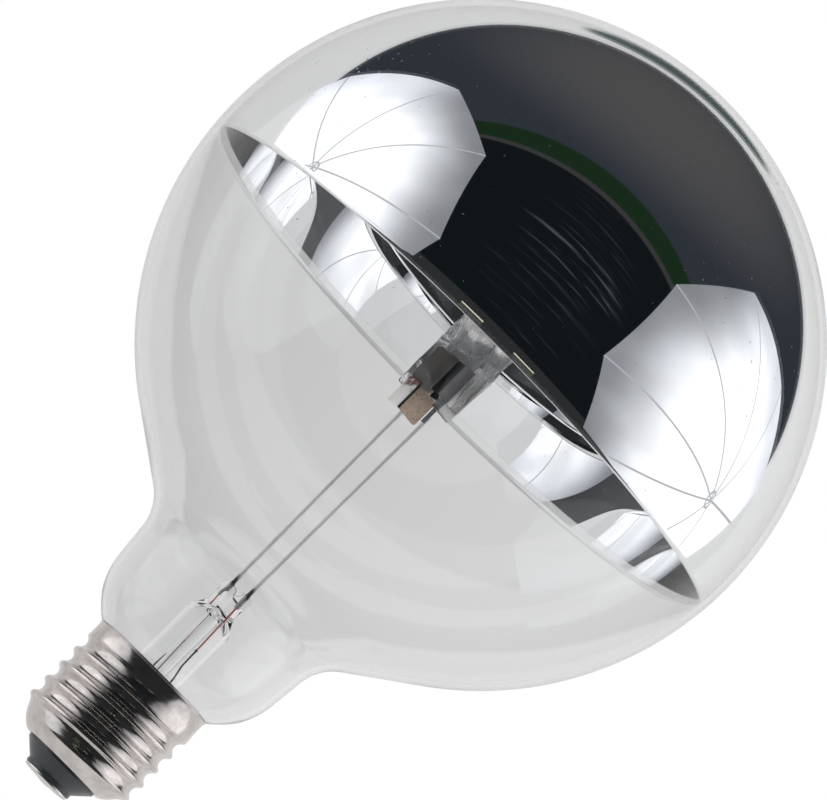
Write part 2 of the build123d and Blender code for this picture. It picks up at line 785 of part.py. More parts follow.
def main():
    """Write every piece."""
    pieces = {
        "glass_globe": glass_globe(),
        "crown_mirror": crown_mirror(),
        "screw_shell": screw_shell(),
        "cap_insulator": cap_insulator(),
        "centre_contact": centre_contact(),
        "contact_solder": contact_solder(),
        "basing_cement": basing_cement(),
        "side_solder": side_solder(),
        "stem_glass": stem_glass(),
        "exhaust_tube": exhaust_tube(),
        "seal_wire_left": seal_wire(-1),
        "seal_wire_right": seal_wire(1),
        "outer_lead_centre": outer_lead_centre(),
        "outer_lead_side": outer_lead_side(),
        "support_lead_left": support_lead(-1),
        "support_lead_right": support_lead(1),
        "weld_tab_left": weld_tab(),
        "weld_strip_right": weld_strip(),
        "capsule_quartz": capsule_quartz(),
        "foil_left": foil(-1),
        "foil_right": foil(1),
        "filament_pin_left": filament_pin(-1),
        "filament_pin_right": filament_pin(1),
        "filament_coil": filament_coil(),
    }
    os.makedirs("parts", exist_ok=True)
    for name, shape in pieces.items():
        export_step(shape, f"parts/{name}.step")
        print(name, round(shape.volume, 2))


main()
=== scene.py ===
# %% [markdown]
# A half-mirror globe lamp
#
# The lamp is a clear glass globe whose crown is silvered on the inside. It stands on a neck that
# runs into a screw cap, and a small quartz capsule hangs in its middle on two stiff leads. Almost
# every surface is glass or metal, so this lesson is mostly about smooth meshes, about what they
# reflect, and about the small flaws that make shiny things believable.
#
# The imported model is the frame. It gives every size and place, in metres, with Z along the lamp's
# axis and Z = 0 at the lowest point of the cap's contact.

# %% Load the frame
from math import asin, atan2, cos, degrees, hypot, pi, radians, sin, sqrt, tan

import bmesh
import bpy
from mathutils import Matrix, Vector


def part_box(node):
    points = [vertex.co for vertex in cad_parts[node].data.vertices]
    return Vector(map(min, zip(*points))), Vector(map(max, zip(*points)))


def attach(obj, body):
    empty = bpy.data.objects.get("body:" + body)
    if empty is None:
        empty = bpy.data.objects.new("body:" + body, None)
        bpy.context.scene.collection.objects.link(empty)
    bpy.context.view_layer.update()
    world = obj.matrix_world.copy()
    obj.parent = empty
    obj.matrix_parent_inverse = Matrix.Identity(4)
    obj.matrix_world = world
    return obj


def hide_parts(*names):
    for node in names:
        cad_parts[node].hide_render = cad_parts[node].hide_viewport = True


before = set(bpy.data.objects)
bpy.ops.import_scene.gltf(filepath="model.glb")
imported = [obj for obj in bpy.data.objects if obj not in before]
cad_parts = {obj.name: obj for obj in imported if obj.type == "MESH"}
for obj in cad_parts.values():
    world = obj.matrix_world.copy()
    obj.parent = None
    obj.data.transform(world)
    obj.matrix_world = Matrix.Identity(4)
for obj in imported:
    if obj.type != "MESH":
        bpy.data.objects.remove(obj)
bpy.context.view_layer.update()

MM = 0.001

# %% [markdown]
# Points, meshes and objects
#
# Outlines are easier to read in millimetres and Blender works in metres, so one helper changes
# points over. The other two turn a finished bmesh into a mesh and a mesh into an object. Every
# piece's object stays at the origin, with its place in its mesh.

# %% Mesh helpers
def from_mm(points):
    """Points given in millimetres, in metres."""
    return [tuple(part * MM for part in point) for point in points]


def mesh_from(name, form):
    """Mesh made of a bmesh, which is freed."""
    mesh = bpy.data.meshes.new(name)
    form.to_mesh(mesh)
    form.free()
    return mesh


def new_object(name, mesh):
    """Object in the scene, at the origin."""
    item = bpy.data.objects.new(name, mesh)
    bpy.context.scene.collection.objects.link(item)
    return item


print("mesh helpers ready")

# %% [markdown]
# The camera
#
# The photograph was taken with a long lens from a metre away, a little below the cap, with the
# camera rolled until the lamp lay on the diagonal. Three angles say where it looks: tilt, pan, and
# the angle at which the lamp's axis climbs across the picture. A camera looks along its own -Z, so
# its matrix is built from the picture's right, the picture's up and the way back to the camera.

# %% Place the camera
camera_place = Vector((0.0, -984.0, -27.3)) * MM
camera_tilt = radians(7.13)
camera_pan = radians(-0.09)
axis_climb = radians(45.0)

level_reach = cos(camera_tilt)
forward = Vector((sin(camera_pan) * level_reach, cos(camera_pan) * level_reach, sin(camera_tilt)))
level_right = forward.cross(Vector((0, 0, 1))).normalized()
level_up = level_right.cross(forward)
picture_right = level_up * cos(axis_climb) + level_right * sin(axis_climb)
picture_up = level_up * sin(axis_climb) - level_right * cos(axis_climb)

camera_data = bpy.data.cameras.new("camera")
camera_data.sensor_fit = "HORIZONTAL"
camera_data.sensor_width = 36.0
camera_data.lens = 239.2
camera_data.clip_start = 0.05
camera_data.clip_end = 20.0
camera = new_object("camera", camera_data)
turn = Matrix((picture_right, picture_up, -forward)).transposed()
camera.matrix_world = Matrix.Translation(camera_place) @ turn.to_4x4()
bpy.context.scene.camera = camera
bpy.context.scene.view_settings.view_transform = "Standard"
print("camera looks along", [round(part, 3) for part in forward])

# %% [markdown]
# Helpers for nodes
#
# Materials, groups and the world are trees of small nodes. These helpers keep the cells below
# short: one adds a node, one fills its inputs, and the rest wrap the nodes that are used most, such
# as a sum, a change of range or a mix of two colours. Each of these puts its node into the tree that
# the sockets it is given belong to, so a formula never has to name its tree.

# %% Node helpers
def add_node(tree, kind, **settings):
    """New node with its properties set."""
    node = tree.nodes.new(kind)
    for name, value in settings.items():
        setattr(node, name, value)
    return node


def put(node, values):
    """Fills inputs: a socket is linked, anything else is a plain value."""
    for name, value in values.items():
        socket = node.inputs[name]
        if isinstance(value, bpy.types.NodeSocket):
            node.id_data.links.new(value, socket)
        else:
            socket.default_value = value
    return node


def beside(values, kind, **settings):
    """New node in the tree of the first socket among its values, filled with them by number."""
    tree = next(value.id_data for value in values if isinstance(value, bpy.types.NodeSocket))
    return put(add_node(tree, kind, **settings), dict(enumerate(values)))


def maths(operation, *values):
    """A Math node's result."""
    return beside(values, "ShaderNodeMath", operation=operation).outputs[0]


def times(first, second):
    """Product of two values."""
    return maths("MULTIPLY", first, second)


def plus(first, second):
    """Sum of two values."""
    return maths("ADD", first, second)


def minus(first, second):
    """Difference of two values."""
    return maths("SUBTRACT", first, second)


def over(first, second):
    """Quotient of two values."""
    return maths("DIVIDE", first, second)


def vectors(operation, *values):
    """A Vector Math node's result."""
    node = beside(values, "ShaderNodeVectorMath", operation=operation)
    return node.outputs["Value" if operation in ("DOT_PRODUCT", "LENGTH") else "Vector"]


def parts_of(vector):
    """A vector's three parts."""
    return beside([vector], "ShaderNodeSeparateXYZ").outputs


def joined(*parts):
    """A vector from three parts."""
    return beside(parts, "ShaderNodeCombineXYZ").outputs[0]


def ramp(value, low, high, to_low=0.0, to_high=1.0):
    """A value mapped smoothly from one range to another."""
    ends = [value, low, high, to_low, to_high]
    return beside(ends, "ShaderNodeMapRange", interpolation_type="SMOOTHSTEP").outputs[0]


def rest_of(share):
    """What a share leaves of 1."""
    return minus(1.0, share)


def gap_to(value, middle):
    """How far a value lies from a middle, either way."""
    return maths("ABSOLUTE", minus(value, middle))


def mixed_level(share, first, second):
    """A mix of two values."""
    plain = times(first, rest_of(share))
    return plus(plain, times(share, second))


def blend(share, first, second):
    """A mix of two colours."""
    node = beside([share], "ShaderNodeMix", data_type="RGBA")
    return put(node, {6: first, 7: second}).outputs[2]


def noise(place, scale, detail=2.0, rough=0.5, warp=0.0):
    """Noise value at a place."""
    node = beside([place], "ShaderNodeTexNoise")
    put(node, {"Scale": scale, "Detail": detail, "Roughness": rough, "Distortion": warp})
    return node.outputs[0]


def grey(value):
    """An opaque grey."""
    return (value, value, value, 1.0)


def new_group(name, inputs, outputs):
    """Empty node group with its named sockets, its entry and its exit."""
    group = bpy.data.node_groups.new(name, "ShaderNodeTree")
    for label, kind, value in inputs:
        socket = group.interface.new_socket(name=label, in_out="INPUT", socket_type=kind)
        if value is not None:
            socket.default_value = value
    for label, kind in outputs:
        group.interface.new_socket(name=label, in_out="OUTPUT", socket_type=kind)
    return group, group.nodes.new("NodeGroupInput"), group.nodes.new("NodeGroupOutput")


def use_group(group, first, *values):
    """Outputs of a group that is placed in the first value's tree."""
    return beside([first, *values], "ShaderNodeGroup", node_tree=group).outputs


print("node helpers ready")

# %% [markdown]
# The backdrop's edge
#
# A mirror shows the room, so the room has to be there. The lamp was photographed in a dark studio
# before a white sweep of paper. Seen from the lamp, the paper's edge is close to a circle round one
# direction, behind and below. The world needs that edge, and so do the two studio lamps, because
# the paper hangs before them, so it is a node group: a direction goes in, a mask comes out.

# %% Build the backdrop's group
paper_way = (-0.04, 1.0, -0.5)
paper_edge = 0.33
paper_soft = 0.012
paper_grey = 0.78
paper_slope = 0.10           # brighter towards the right


def backdrop_group():
    """Mask that is 1 where a direction meets the paper."""
    inputs = [("Direction", "NodeSocketVector", None)]
    group, entry, out = new_group("backdrop", inputs, [("Mask", "NodeSocketFloat")])
    toward = vectors("DOT_PRODUCT", entry.outputs["Direction"], paper_way)
    put(out, {"Mask": ramp(toward, paper_edge - paper_soft, paper_edge + paper_soft)})
    return group


backdrop = backdrop_group()
print("backdrop group has", len(backdrop.nodes), "nodes")

# %% [markdown]
# The studio
#
# The camera sees plain white behind the lamp. Rays that have only gone through the glass see a
# slightly greyer white, and rays that have bounced off a mirror see the room: the paper behind with
# a dark gap above the lamp, a dim ceiling with a strip of green under its edge, and the front wall
# of black boards, whose joints catch a little light, with two cream patches low on it. Light Path
# tells these rays apart: its Glossy Depth counts the mirrors on the way. The front wall is drawn in
# flat coordinates: height and side over depth.

# %% Build the world
seen_through = (0.60, 0.735)  # the white behind, as the clear glass shows it, left and right
seen_reach = 0.085           # how far to either side it changes
ambient = 0.40               # plain level for matt surfaces
room_side = (0.030, 0.035, 0.045, 1.0)
room_glow = (0.082, 0.081, 0.083, 1.0)
glow_way = (-0.08, 0.33, 0.94)
glow_reach = (0.72, 1.02)
gap_tone = (0.085, 0.110, 0.112, 1.0)
gap_place = (-0.0625, 0.6125)
gap_reach = (0.187, 0.0685)
gap_edge = (1.1, 0.9)
board_black = (0.0062, 0.0086, 0.0104, 1.0)
board_top = 1.62             # height over depth of the boards' upper edge
trim_top = 1.74
green_top = 2.42
trim_tone = (0.042, 0.042, 0.044, 1.0)
green_tone = (0.010, 0.026, 0.012, 1.0)
table_tone = (0.026, 0.028, 0.030, 1.0)
table_edge = (0.012, 0.004)
joint_squash = 0.05          # the joints are level, so their pattern is squashed sideways
joint_scale = 21.0
joint_share = (0.52, 0.72)
joint_tone = (0.9, 0.93, 1.0, 1.0)
joint_middle = 0.06
joint_spread = 0.62
joint_peak = 0.70            # height over depth where they are brightest
joint_fall = 0.28
joint_strength = 0.16
joint_least = 0.03
patch_sides = (-0.17, 0.255)
patch_height = -0.050
patch_half = (0.088, 0.017)
patch_tone = (0.75, 0.75, 0.56, 1.0)
least_depth = 0.001
sharp = 0.02


def boards(side, height):
    """Front wall by height over depth: boards with lit joints, a trim, a green strip."""
    drawn = joined(times(side, joint_squash), height, 0.0)
    lines = ramp(noise(drawn, joint_scale, 3.0, 0.7), *joint_share)
    off_centre = gap_to(side, joint_middle)
    lines = times(lines, ramp(off_centre, 0.0, joint_spread, 1.0, 0.0))
    away = gap_to(height, joint_peak)
    lines = times(lines, ramp(away, 0.0, joint_fall, joint_strength, joint_least))
    wall = blend(lines, board_black, joint_tone)
    wall = blend(ramp(height, board_top - sharp, board_top + sharp), wall, trim_tone)
    return blend(ramp(height, trim_top - sharp, trim_top + sharp), wall, green_tone)


def lit_patches(side, height):
    """Mask of the two cream patches low on the front wall."""
    level = maths("LESS_THAN", gap_to(height, patch_height), patch_half[1])
    total = 0.0
    for middle in patch_sides:
        inside = maths("LESS_THAN", gap_to(side, middle), patch_half[0])
        total = plus(inside, total)
    return times(level, total)


world = bpy.data.worlds.new("studio")
bpy.context.scene.world = world
world.use_nodes = True
tree = world.node_tree
tree.nodes.clear()
direction = add_node(tree, "ShaderNodeTexCoord").outputs["Generated"]
side, depth, height = parts_of(direction)
glow = ramp(vectors("DOT_PRODUCT", direction, glow_way), *glow_reach)
room = blend(glow, room_side, room_glow)

ahead = maths("MAXIMUM", times(depth, -1.0), least_depth)
wall_side = over(side, ahead)
wall_height = over(height, ahead)
wall = boards(wall_side, wall_height)
room = blend(ramp(wall_height, green_top + 3 * sharp, green_top - 3 * sharp), room, wall)
in_front = ramp(depth, 0.0, -sharp)
room = blend(rest_of(in_front), room, blend(glow, room_side, room_glow))
room = blend(ramp(height, *table_edge), room, table_tone)
patches = times(lit_patches(wall_side, wall_height), in_front)
room = blend(patches, room, patch_tone)

paper_mask = use_group(backdrop, direction)["Mask"]
gap_x = over(minus(side, gap_place[0]), gap_reach[0])
gap_z = over(minus(height, gap_place[1]), gap_reach[1])
gap = ramp(vectors("LENGTH", joined(gap_x, gap_z, 0.0)), *gap_edge)
gap = times(gap, maths("GREATER_THAN", depth, 0.0))
paper = plus(paper_grey, times(side, paper_slope))
paper = blend(gap, joined(paper, paper, paper), gap_tone)
mirrored = blend(paper_mask, room, paper)

light_path = add_node(tree, "ShaderNodeLightPath")
after_mirror = maths("GREATER_THAN", light_path.outputs["Glossy Depth"], 0.5)
behind = ramp(side, -seen_reach, seen_reach, *seen_through)
seen = blend(after_mirror, joined(behind, behind, behind), mirrored)
glossy, through = (light_path.outputs[name] for name in ("Is Glossy Ray", "Is Transmission Ray"))
lit = blend(maths("MAXIMUM", glossy, through), grey(ambient), seen)
final = blend(light_path.outputs["Is Camera Ray"], lit, grey(1.0))
background = put(add_node(tree, "ShaderNodeBackground"), {"Color": final, "Strength": 1.0})
output = add_node(tree, "ShaderNodeOutputWorld")
tree.links.new(background.outputs[0], output.inputs[0])
print("world has", len(tree.nodes), "nodes")

# %% [markdown]
# The two soft lamps
#
# Each lamp is a canopy of eight gores that meet in a hub. Its mirror image shows where it stood, so
# the hub and the eight rib ends are given as directions from the globe: a bearing from the camera's
# side and a height above the horizon, both in degrees. The faces between are divided and pushed out
# to give the cloth its bulge.

# %% Build the canopies
canopy_distance = 0.9
canopy_bulge = 0.10
canopy_cuts = 5
left_hub = (86.2, 1.2)
left_ends = [
    (113.5, 20.5), (85.0, 39.9), (48.8, 35.4), (33.2, 7.4),
    (42, -26), (75, -48), (112, -32), (125, -5),
]
right_hub = (101.3, 12.4)
right_ends = [
    (124.6, 12.0), (119.0, 36.0), (101.0, 56.0), (43.2, 50.4),
    (30.9, 17.7), (44.0, -5), (68, -36), (118, -30),
]
globe_low, globe_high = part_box("glass_globe")
globe_radius = globe_high.x
globe_z = globe_high.z - globe_radius
globe_centre = Vector((0, 0, globe_z))


def towards(bearing, climb):
    """Unit direction for a bearing from the camera's side and a height, in degrees."""
    around = radians(bearing)
    up = radians(climb)
    return Vector((sin(around) * cos(up), -cos(around) * cos(up), sin(up)))


def canopy_mesh(name, sign, hub, ends):
    """Eight gores from the hub to the rib ends, bulged between the ribs."""
    form = bmesh.new()
    place = form.verts.layers.float_vector.new("place")
    middle = form.verts.new(towards(sign * hub[0], hub[1]) * (canopy_distance + canopy_bulge))
    rim = [form.verts.new(towards(sign * end[0], end[1]) * canopy_distance) for end in ends]
    for here, after in zip(rim, rim[1:] + rim[:1]):
        form.faces.new((middle, here, after))
    for number, vert in enumerate(rim):
        angle = 2 * pi * number / len(rim)
        vert[place] = Vector((cos(angle), sin(angle), 0))
    bmesh.ops.subdivide_edges(form, edges=form.edges[:], cuts=canopy_cuts, use_grid_fill=True)
    for vert in form.verts:
        outward = 1.0 - hypot(vert[place].x, vert[place].y)
        vert.co *= 1.0 + canopy_bulge * outward * (1.0 - outward)
        vert.co += globe_centre
    return mesh_from(name, form)


# %% [markdown]
# Light from the canopies
#
# The cloth is brightest round the hub, where the flash sits behind it. It is brighter than white
# there, as it was in the studio: a mirror clips it to white, while the few percent that clear glass
# reflects still show as soft highlights. It falls off to a bluish grey at the rim, most of all on
# the upper side towards the camera. Where the paper hangs before a canopy, the paper shows.

# %% Light the canopies
canopy_middle = 1.4
canopy_rim = 0.30
rim_start = 0.35
rim_end = 1.05
front_way = (0.0, -0.85, 0.5)
front_low = 0.05
front_high = 0.60
least_fall = 0.35
fold_scale = 2.3
fold_light = (0.80, 1.10)
rib_grey = 0.52
rib_width = 0.011
ring_reach = 0.046
ring_edge = (0.012, 0.004)
cloth_white = (0.97, 0.98, 1.0, 1.0)
cloth_blue = (0.90, 0.93, 1.0, 1.0)


def canopy_material():
    """White cloth that gives light, with thin grey ribs and a ring at the hub."""
    material = bpy.data.materials.new("lit_cloth")
    material.use_nodes = True
    tree = material.node_tree
    tree.nodes.clear()
    place = add_node(tree, "ShaderNodeAttribute", attribute_name="place").outputs["Vector"]
    across, along, _ = parts_of(place)
    angle = maths("ARCTAN2", along, across)
    gore = maths("PINGPONG", times(angle, len(left_ends) / (2 * pi)), 0.5)
    reach = vectors("LENGTH", place)
    on_rib = ramp(times(gore, reach), rib_width, rib_width * 0.4)
    ring = ramp(gap_to(reach, ring_reach), *ring_edge)
    folds = ramp(noise(place, fold_scale, 1.5), 0.3, 0.7, *fold_light)
    where = add_node(tree, "ShaderNodeTexCoord").outputs["Object"]
    from_globe = vectors("NORMALIZE", vectors("SUBTRACT", where, globe_centre))
    facing = vectors("DOT_PRODUCT", from_globe, front_way)
    fall = ramp(facing, front_low, front_high, least_fall, 1.0)
    fall = times(fall, ramp(reach, rim_start, rim_end))
    level = times(ramp(fall, 0.0, 1.0, canopy_middle, canopy_rim), folds)
    level = mixed_level(maths("MAXIMUM", on_rib, ring), level, rib_grey)
    colour = blend(ramp(reach, 0.4, 1.0), cloth_white, cloth_blue)
    hidden = use_group(backdrop, from_globe)["Mask"]
    shown = blend(hidden, colour, grey(1.0))
    level = mixed_level(hidden, level, paper_grey)
    light = put(add_node(tree, "ShaderNodeEmission"), {"Strength": level, "Color": shown})
    output = add_node(tree, "ShaderNodeOutputMaterial")
    tree.links.new(light.outputs[0], output.inputs[0])
    return material


lit_cloth = canopy_material()
lamps = (("left_lamp", -1, left_hub, left_ends), ("right_lamp", 1, right_hub, right_ends))
for name, sign, hub, ends in lamps:
    canopy = new_object(name, canopy_mesh(name, sign, hub, ends))
    canopy.data.materials.append(lit_cloth)
    canopy.visible_camera = False
    print(name, "has", len(canopy.data.polygons), "faces")

# %% [markdown]
# The floor
#
# A plain pale floor lies well below the lamp, under the camera's own height, so the photograph's
# view never reaches it and the views from above do. Mirrors and glass see the paper in its place.

# %% Lay the floor
floor_z = -0.45
floor_half = 4.0

form = bmesh.new()
bmesh.ops.create_grid(form, x_segments=1, y_segments=1, size=floor_half)
bmesh.ops.translate(form, vec=(0, 0, floor_z), verts=form.verts[:])
floor = new_object("floor", mesh_from("floor", form))
floor.visible_glossy = False
floor.visible_transmission = False
pale_floor = bpy.data.materials.new("pale_floor")
pale_floor.use_nodes = True
put(pale_floor.node_tree.nodes["Principled BSDF"], {"Base Color": (0.9, 0.9, 0.9, 1), "Roughness": 0.8})
floor.data.materials.append(pale_floor)
print("floor at", floor_z)

# %% [markdown]
# Round pieces
#
# Blown glass and turned metal are bodies of revolution. Each is drawn as a half outline of radius
# and height and spun once round the axis. Arcs are divided finely, because a mirror or a lens shows
# every facet: 256 steps keep the globe within 5 microns of round. After the spin the doubles on the
# axis are merged and the normals turned outwards.

# %% Helpers for round pieces
merge_distance = 1e-7
on_axis = 1e-9               # a radius below this is taken as none


def arc(centre, radius, start, end, steps):
    """Points of an arc in the outline's plane, angles in degrees from straight out."""
    angles = [radians(start + (end - start) * step / steps) for step in range(steps + 1)]
    return [(centre[0] + radius * cos(angle), centre[1] + radius * sin(angle)) for angle in angles]


def fillet(before, corner, after, radius, steps):
    """Points of the arc that rounds a corner between two straight runs."""
    corner = Vector(corner)
    back = (Vector(before) - corner).normalized()
    on = (Vector(after) - corner).normalized()
    half = back.angle(on) / 2
    centre = corner + (back + on).normalized() * radius / sin(half)
    start = corner + back * radius / tan(half) - centre
    sweep = start.angle_signed(corner + on * radius / tan(half) - centre)
    points = []
    for step in range(steps + 1):
        spoke = start.copy()
        spoke.rotate(Matrix.Rotation(-sweep * step / steps, 2))
        points.append(tuple(centre + spoke))
    return points


def rounded(corners, radius, steps=4):
    """Outline whose inner corners are rounded, all by one radius."""
    points = [corners[0]]
    for before, corner, after in zip(corners, corners[1:], corners[2:]):
        points += fillet(before, corner, after, radius, steps)
    return points + [corners[-1]]


def curve(start, start_way, end, end_way, steps):
    """Points of a smooth curve with a given direction at each end."""
    span = (Vector(end) - Vector(start)).length
    a = Vector(start)
    b = a + Vector(start_way).normalized() * span / 3
    d = Vector(end)
    c = d - Vector(end_way).normalized() * span / 3
    points = []
    for step in range(steps + 1):
        t = step / steps
        s = 1 - t
        points.append(tuple(a * s**3 + b * 3 * s * s * t + c * 3 * s * t * t + d * t**3))
    return points


def upright(radius, start, end, steps):
    """Points of an upright run at one radius, without its first."""
    return [(radius, start + (end - start) * step / steps) for step in range(1, steps + 1)]


def lathe(outline, steps, closed=True):
    """Bmesh of an outline of (radius, height) points, spun once round Z."""
    form = bmesh.new()
    verts = [form.verts.new((r if r > on_axis else 0.0, 0, z)) for r, z in outline]
    for here, after in zip(verts, verts[1:]):
        form.edges.new((here, after))
    if closed and outline[0][0] > on_axis:
        form.edges.new((verts[-1], verts[0]))
    bmesh.ops.spin(
        form, geom=form.verts[:] + form.edges[:], cent=(0, 0, 0), axis=(0, 0, 1), dvec=(0, 0, 0),
        angle=2 * pi, steps=steps, use_merge=True, use_normal_flip=False, use_duplicate=False,
    )
    bmesh.ops.remove_doubles(form, verts=form.verts[:], dist=merge_distance)
    bmesh.ops.recalc_face_normals(form, faces=form.faces[:])
    return form


def finish_piece(name, form, material, nodes, sharp_angle=180.0):
    """Object from a bmesh, riding on the lamp's one body and standing for its CAD nodes."""
    mesh = mesh_from(name, form)
    mesh.polygons.foreach_set("use_smooth", [True] * len(mesh.polygons))
    if sharp_angle < 180.0:
        mesh.set_sharp_from_angle(angle=radians(sharp_angle))
    mesh.materials.append(material)
    piece = new_object(name, mesh)
    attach(piece, "root")
    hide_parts(*nodes)
    print(name, "has", len(mesh.polygons), "faces")
    return piece


def soften(form, edges, width, segments):
    """Rounds edges of a bmesh."""
    bmesh.ops.bevel(form, geom=edges, offset=width, offset_type="OFFSET", segments=segments,
                    profile=0.5, affect="EDGES", material=-1)


def fade(share):
    """Smooth step from 0 to 1."""
    held = min(max(share, 0.0), 1.0)
    return held * held * (3 - 2 * held)


print("helpers for round pieces ready")

# %% [markdown]
# Shared surface effects
#
# Two effects serve many finishes. Grain is a fine mottling in brightness and gloss, as every
# worked metal has. Ripple is a slow wave in the height, as in blown and pressed glass. Each is a
# node group with named inputs and outputs, so that every material can set its own scale.

# %% Build the shared groups
def grain_group():
    """Fine mottling: a value round 0.5 and specks from 0 to 1."""
    group, entry, out = new_group(
        "grain",
        [("Place", "NodeSocketVector", None), ("Scale", "NodeSocketFloat", 900.0),
         ("Stretch", "NodeSocketFloat", 1.0)],
        [("Mottle", "NodeSocketFloat"), ("Specks", "NodeSocketFloat")],
    )
    stretch = joined(1.0, 1.0, entry.outputs["Stretch"])
    place = vectors("MULTIPLY", entry.outputs["Place"], stretch)
    fine = times(entry.outputs["Scale"], 2.6)
    put(out, {
        "Mottle": noise(place, entry.outputs["Scale"], 4.0, 0.62),
        "Specks": ramp(noise(place, fine, 1.0), 0.66, 0.74),
    })
    return group


def ripple_group():
    """Slow wave in the height of a glass wall."""
    group, entry, out = new_group(
        "ripple",
        [("Place", "NodeSocketVector", None), ("Scale", "NodeSocketFloat", 30.0),
         ("Warp", "NodeSocketFloat", 0.4)],
        [("Height", "NodeSocketFloat")],
    )
    wave = noise(entry.outputs["Place"], entry.outputs["Scale"], 2.0, 0.5, entry.outputs["Warp"])
    put(out, {"Height": wave})
    return group


grain = grain_group()
ripple = ripple_group()


def surface(name):
    """New material with its main shader and its object coordinates."""
    material = bpy.data.materials.new(name)
    material.use_nodes = True
    tree = material.node_tree
    place = add_node(tree, "ShaderNodeTexCoord").outputs["Object"]
    return material, tree.nodes["Principled BSDF"], place


def bump(height, distance):
    """Normal from a height in metres."""
    node = add_node(height.id_data, "ShaderNodeBump")
    return put(node, {"Height": height, "Distance": distance, "Strength": 1.0}).outputs[0]


def grained(name, scale, stretch=1.0):
    """New material with its main shader, its coordinates, and the grain's mottle and specks."""
    material, shader, place = surface(name)
    return material, shader, place, *use_group(grain, place, scale, stretch)


def worked(shader, colour, metallic, mottle, gloss, height, depth):
    """Gives a shader its colour, a roughness that follows the grain, and its relief."""
    rough = ramp(mottle, 0.3, 0.7, *gloss)
    put(shader, {"Base Color": colour, "Metallic": metallic, "Roughness": rough})
    put(shader, {"Normal": bump(height, depth)})


print("groups", [group.name for group in bpy.data.node_groups])

# %% [markdown]
# Clear glass
#
# Blown glass is smooth but never perfectly even. The clear glass takes a little of the light on its
# way through and has a very slow ripple, and the pressed stem has a shorter one. The refractive
# indices are lower than the real ones, which keeps the streaks at the edges as soft as they look in
# the picture. The quartz was pinched between hot jaws, so beside and above the foils it is drawn
# into fine upright streaks: a noise squashed along the height drives both its gloss and its relief.

# %% Mix the glasses
quartz_index = 1.27
quartz_wave = 210.0
quartz_relief = 0.06 * MM
quartz_coat = (0.35, 0.04)
dull_side = (2.4 * MM, 3.4 * MM)
dull_height = (108.0 * MM, 110.5 * MM)
dull_rough = (0.20, 0.70)
streak_scale = 2600.0
streak_squash = (1.0, 1.0, 0.08)


def glass(name, tint, index, scale, depth, warp):
    """Clear glass with a ripple of a given scale and depth."""
    material, shader, place = surface(name)
    put(shader, {"Base Color": tint, "Roughness": 0.0, "IOR": index, "Transmission Weight": 1.0})
    height = use_group(ripple, place, scale, warp)["Height"]
    put(shader, {"Normal": bump(height, depth)})
    return material


def pinched_quartz():
    """Clear glass, streaked and dulled by the jaws beside the foils and above them."""
    material, shader, place = surface("quartz")
    side, _, height = parts_of(place)
    dulled = maths("MAXIMUM", ramp(side, *dull_side), ramp(height, *dull_height))
    streaks = noise(vectors("MULTIPLY", place, streak_squash), streak_scale, 2.0, 0.6)
    rough = times(dulled, ramp(streaks, 0.35, 0.65, *dull_rough))
    put(shader, {"Base Color": grey(0.985), "IOR": quartz_index, "Transmission Weight": 1.0})
    put(shader, {"Roughness": rough, "Coat Weight": quartz_coat[0], "Coat Roughness": quartz_coat[1]})
    wave = use_group(ripple, place, quartz_wave, 0.6)["Height"]
    relief = plus(wave, times(streaks, dulled))
    put(shader, {"Normal": bump(relief, quartz_relief)})
    return material


clear_glass = glass("clear_glass", (0.978, 0.979, 0.980, 1), 1.34, 22.0, 0.06 * MM, 0.2)
stem_clear = glass("stem_clear", (0.985, 0.987, 0.985, 1), 1.27, 140.0, 0.012 * MM, 0.3)
quartz = pinched_quartz()
print("glasses mixed")

# %% [markdown]
# The globe
#
# The globe, its throat and the neck are one blown wall. The outline runs from the crown down the
# sphere, along a straight cone, through a fillet into the neck's slight taper, and round into the
# end that the cap hides. The inside follows the same outline one wall further in, and the two are
# joined at the neck's end, so that the glass is one closed solid and light bends through it twice.

# %% Blow the globe
wall = 1.2 * MM
throat_slope = 54.5
neck_slope = radians(6.0)
neck_radius = 19.35 * MM
neck_z = 38.8 * MM
neck_round_in = 1.45 * MM
neck_round_drop = 5.3 * MM
waist_fillet = 9.4 * MM
collar_top = 28.05 * MM
entry_flare_out = 1.55 * MM
entry_flare_rise = 0.45 * MM
neck_end_radius = 12.2 * MM
neck_end_z = 27.05 * MM
seal_radius = 10.4 * MM
round_way = (-0.42, -0.9)
flare_way = (-0.75, -0.66)
globe_steps = 256


def glass_outline(inset):
    """Outline of one side of the wall, from the crown to the neck's end."""
    ball = globe_radius - inset
    lean = tan(neck_slope)
    cone = tan(radians(throat_slope))
    touch = (ball * cos(radians(throat_slope)), globe_z - ball * sin(radians(throat_slope)))
    end = (neck_radius - inset, neck_z)
    reach = touch[0] - end[0] - (touch[1] - neck_z) * lean
    corner_z = touch[1] - reach / (cone - lean)
    corner = (end[0] + (corner_z - neck_z) * lean, corner_z)
    points = arc((0, globe_z), ball, 90, -throat_slope, 110)
    points += fillet(touch, corner, end, waist_fillet + inset, 20)
    shoulder = (neck_radius - inset - neck_round_in, neck_z - neck_round_drop)
    entry = (neck_end_radius - inset, neck_end_z)
    flare = (neck_end_radius - inset + entry_flare_out, collar_top + entry_flare_rise)
    points += curve(end, (-sin(neck_slope), -cos(neck_slope)), shoulder, round_way, 9)
    points += curve(shoulder, round_way, flare, flare_way, 10)[1:]
    points += curve(flare, flare_way, entry, (-0.2, -1), 6)[1:]
    points.append((seal_radius - inset, globe_low.z))
    return points


outer = glass_outline(0.0)
inner = glass_outline(wall)
globe = lathe(outer + inner[::-1], globe_steps)
finish_piece("blown_globe", globe, clear_glass, ["glass_globe"])

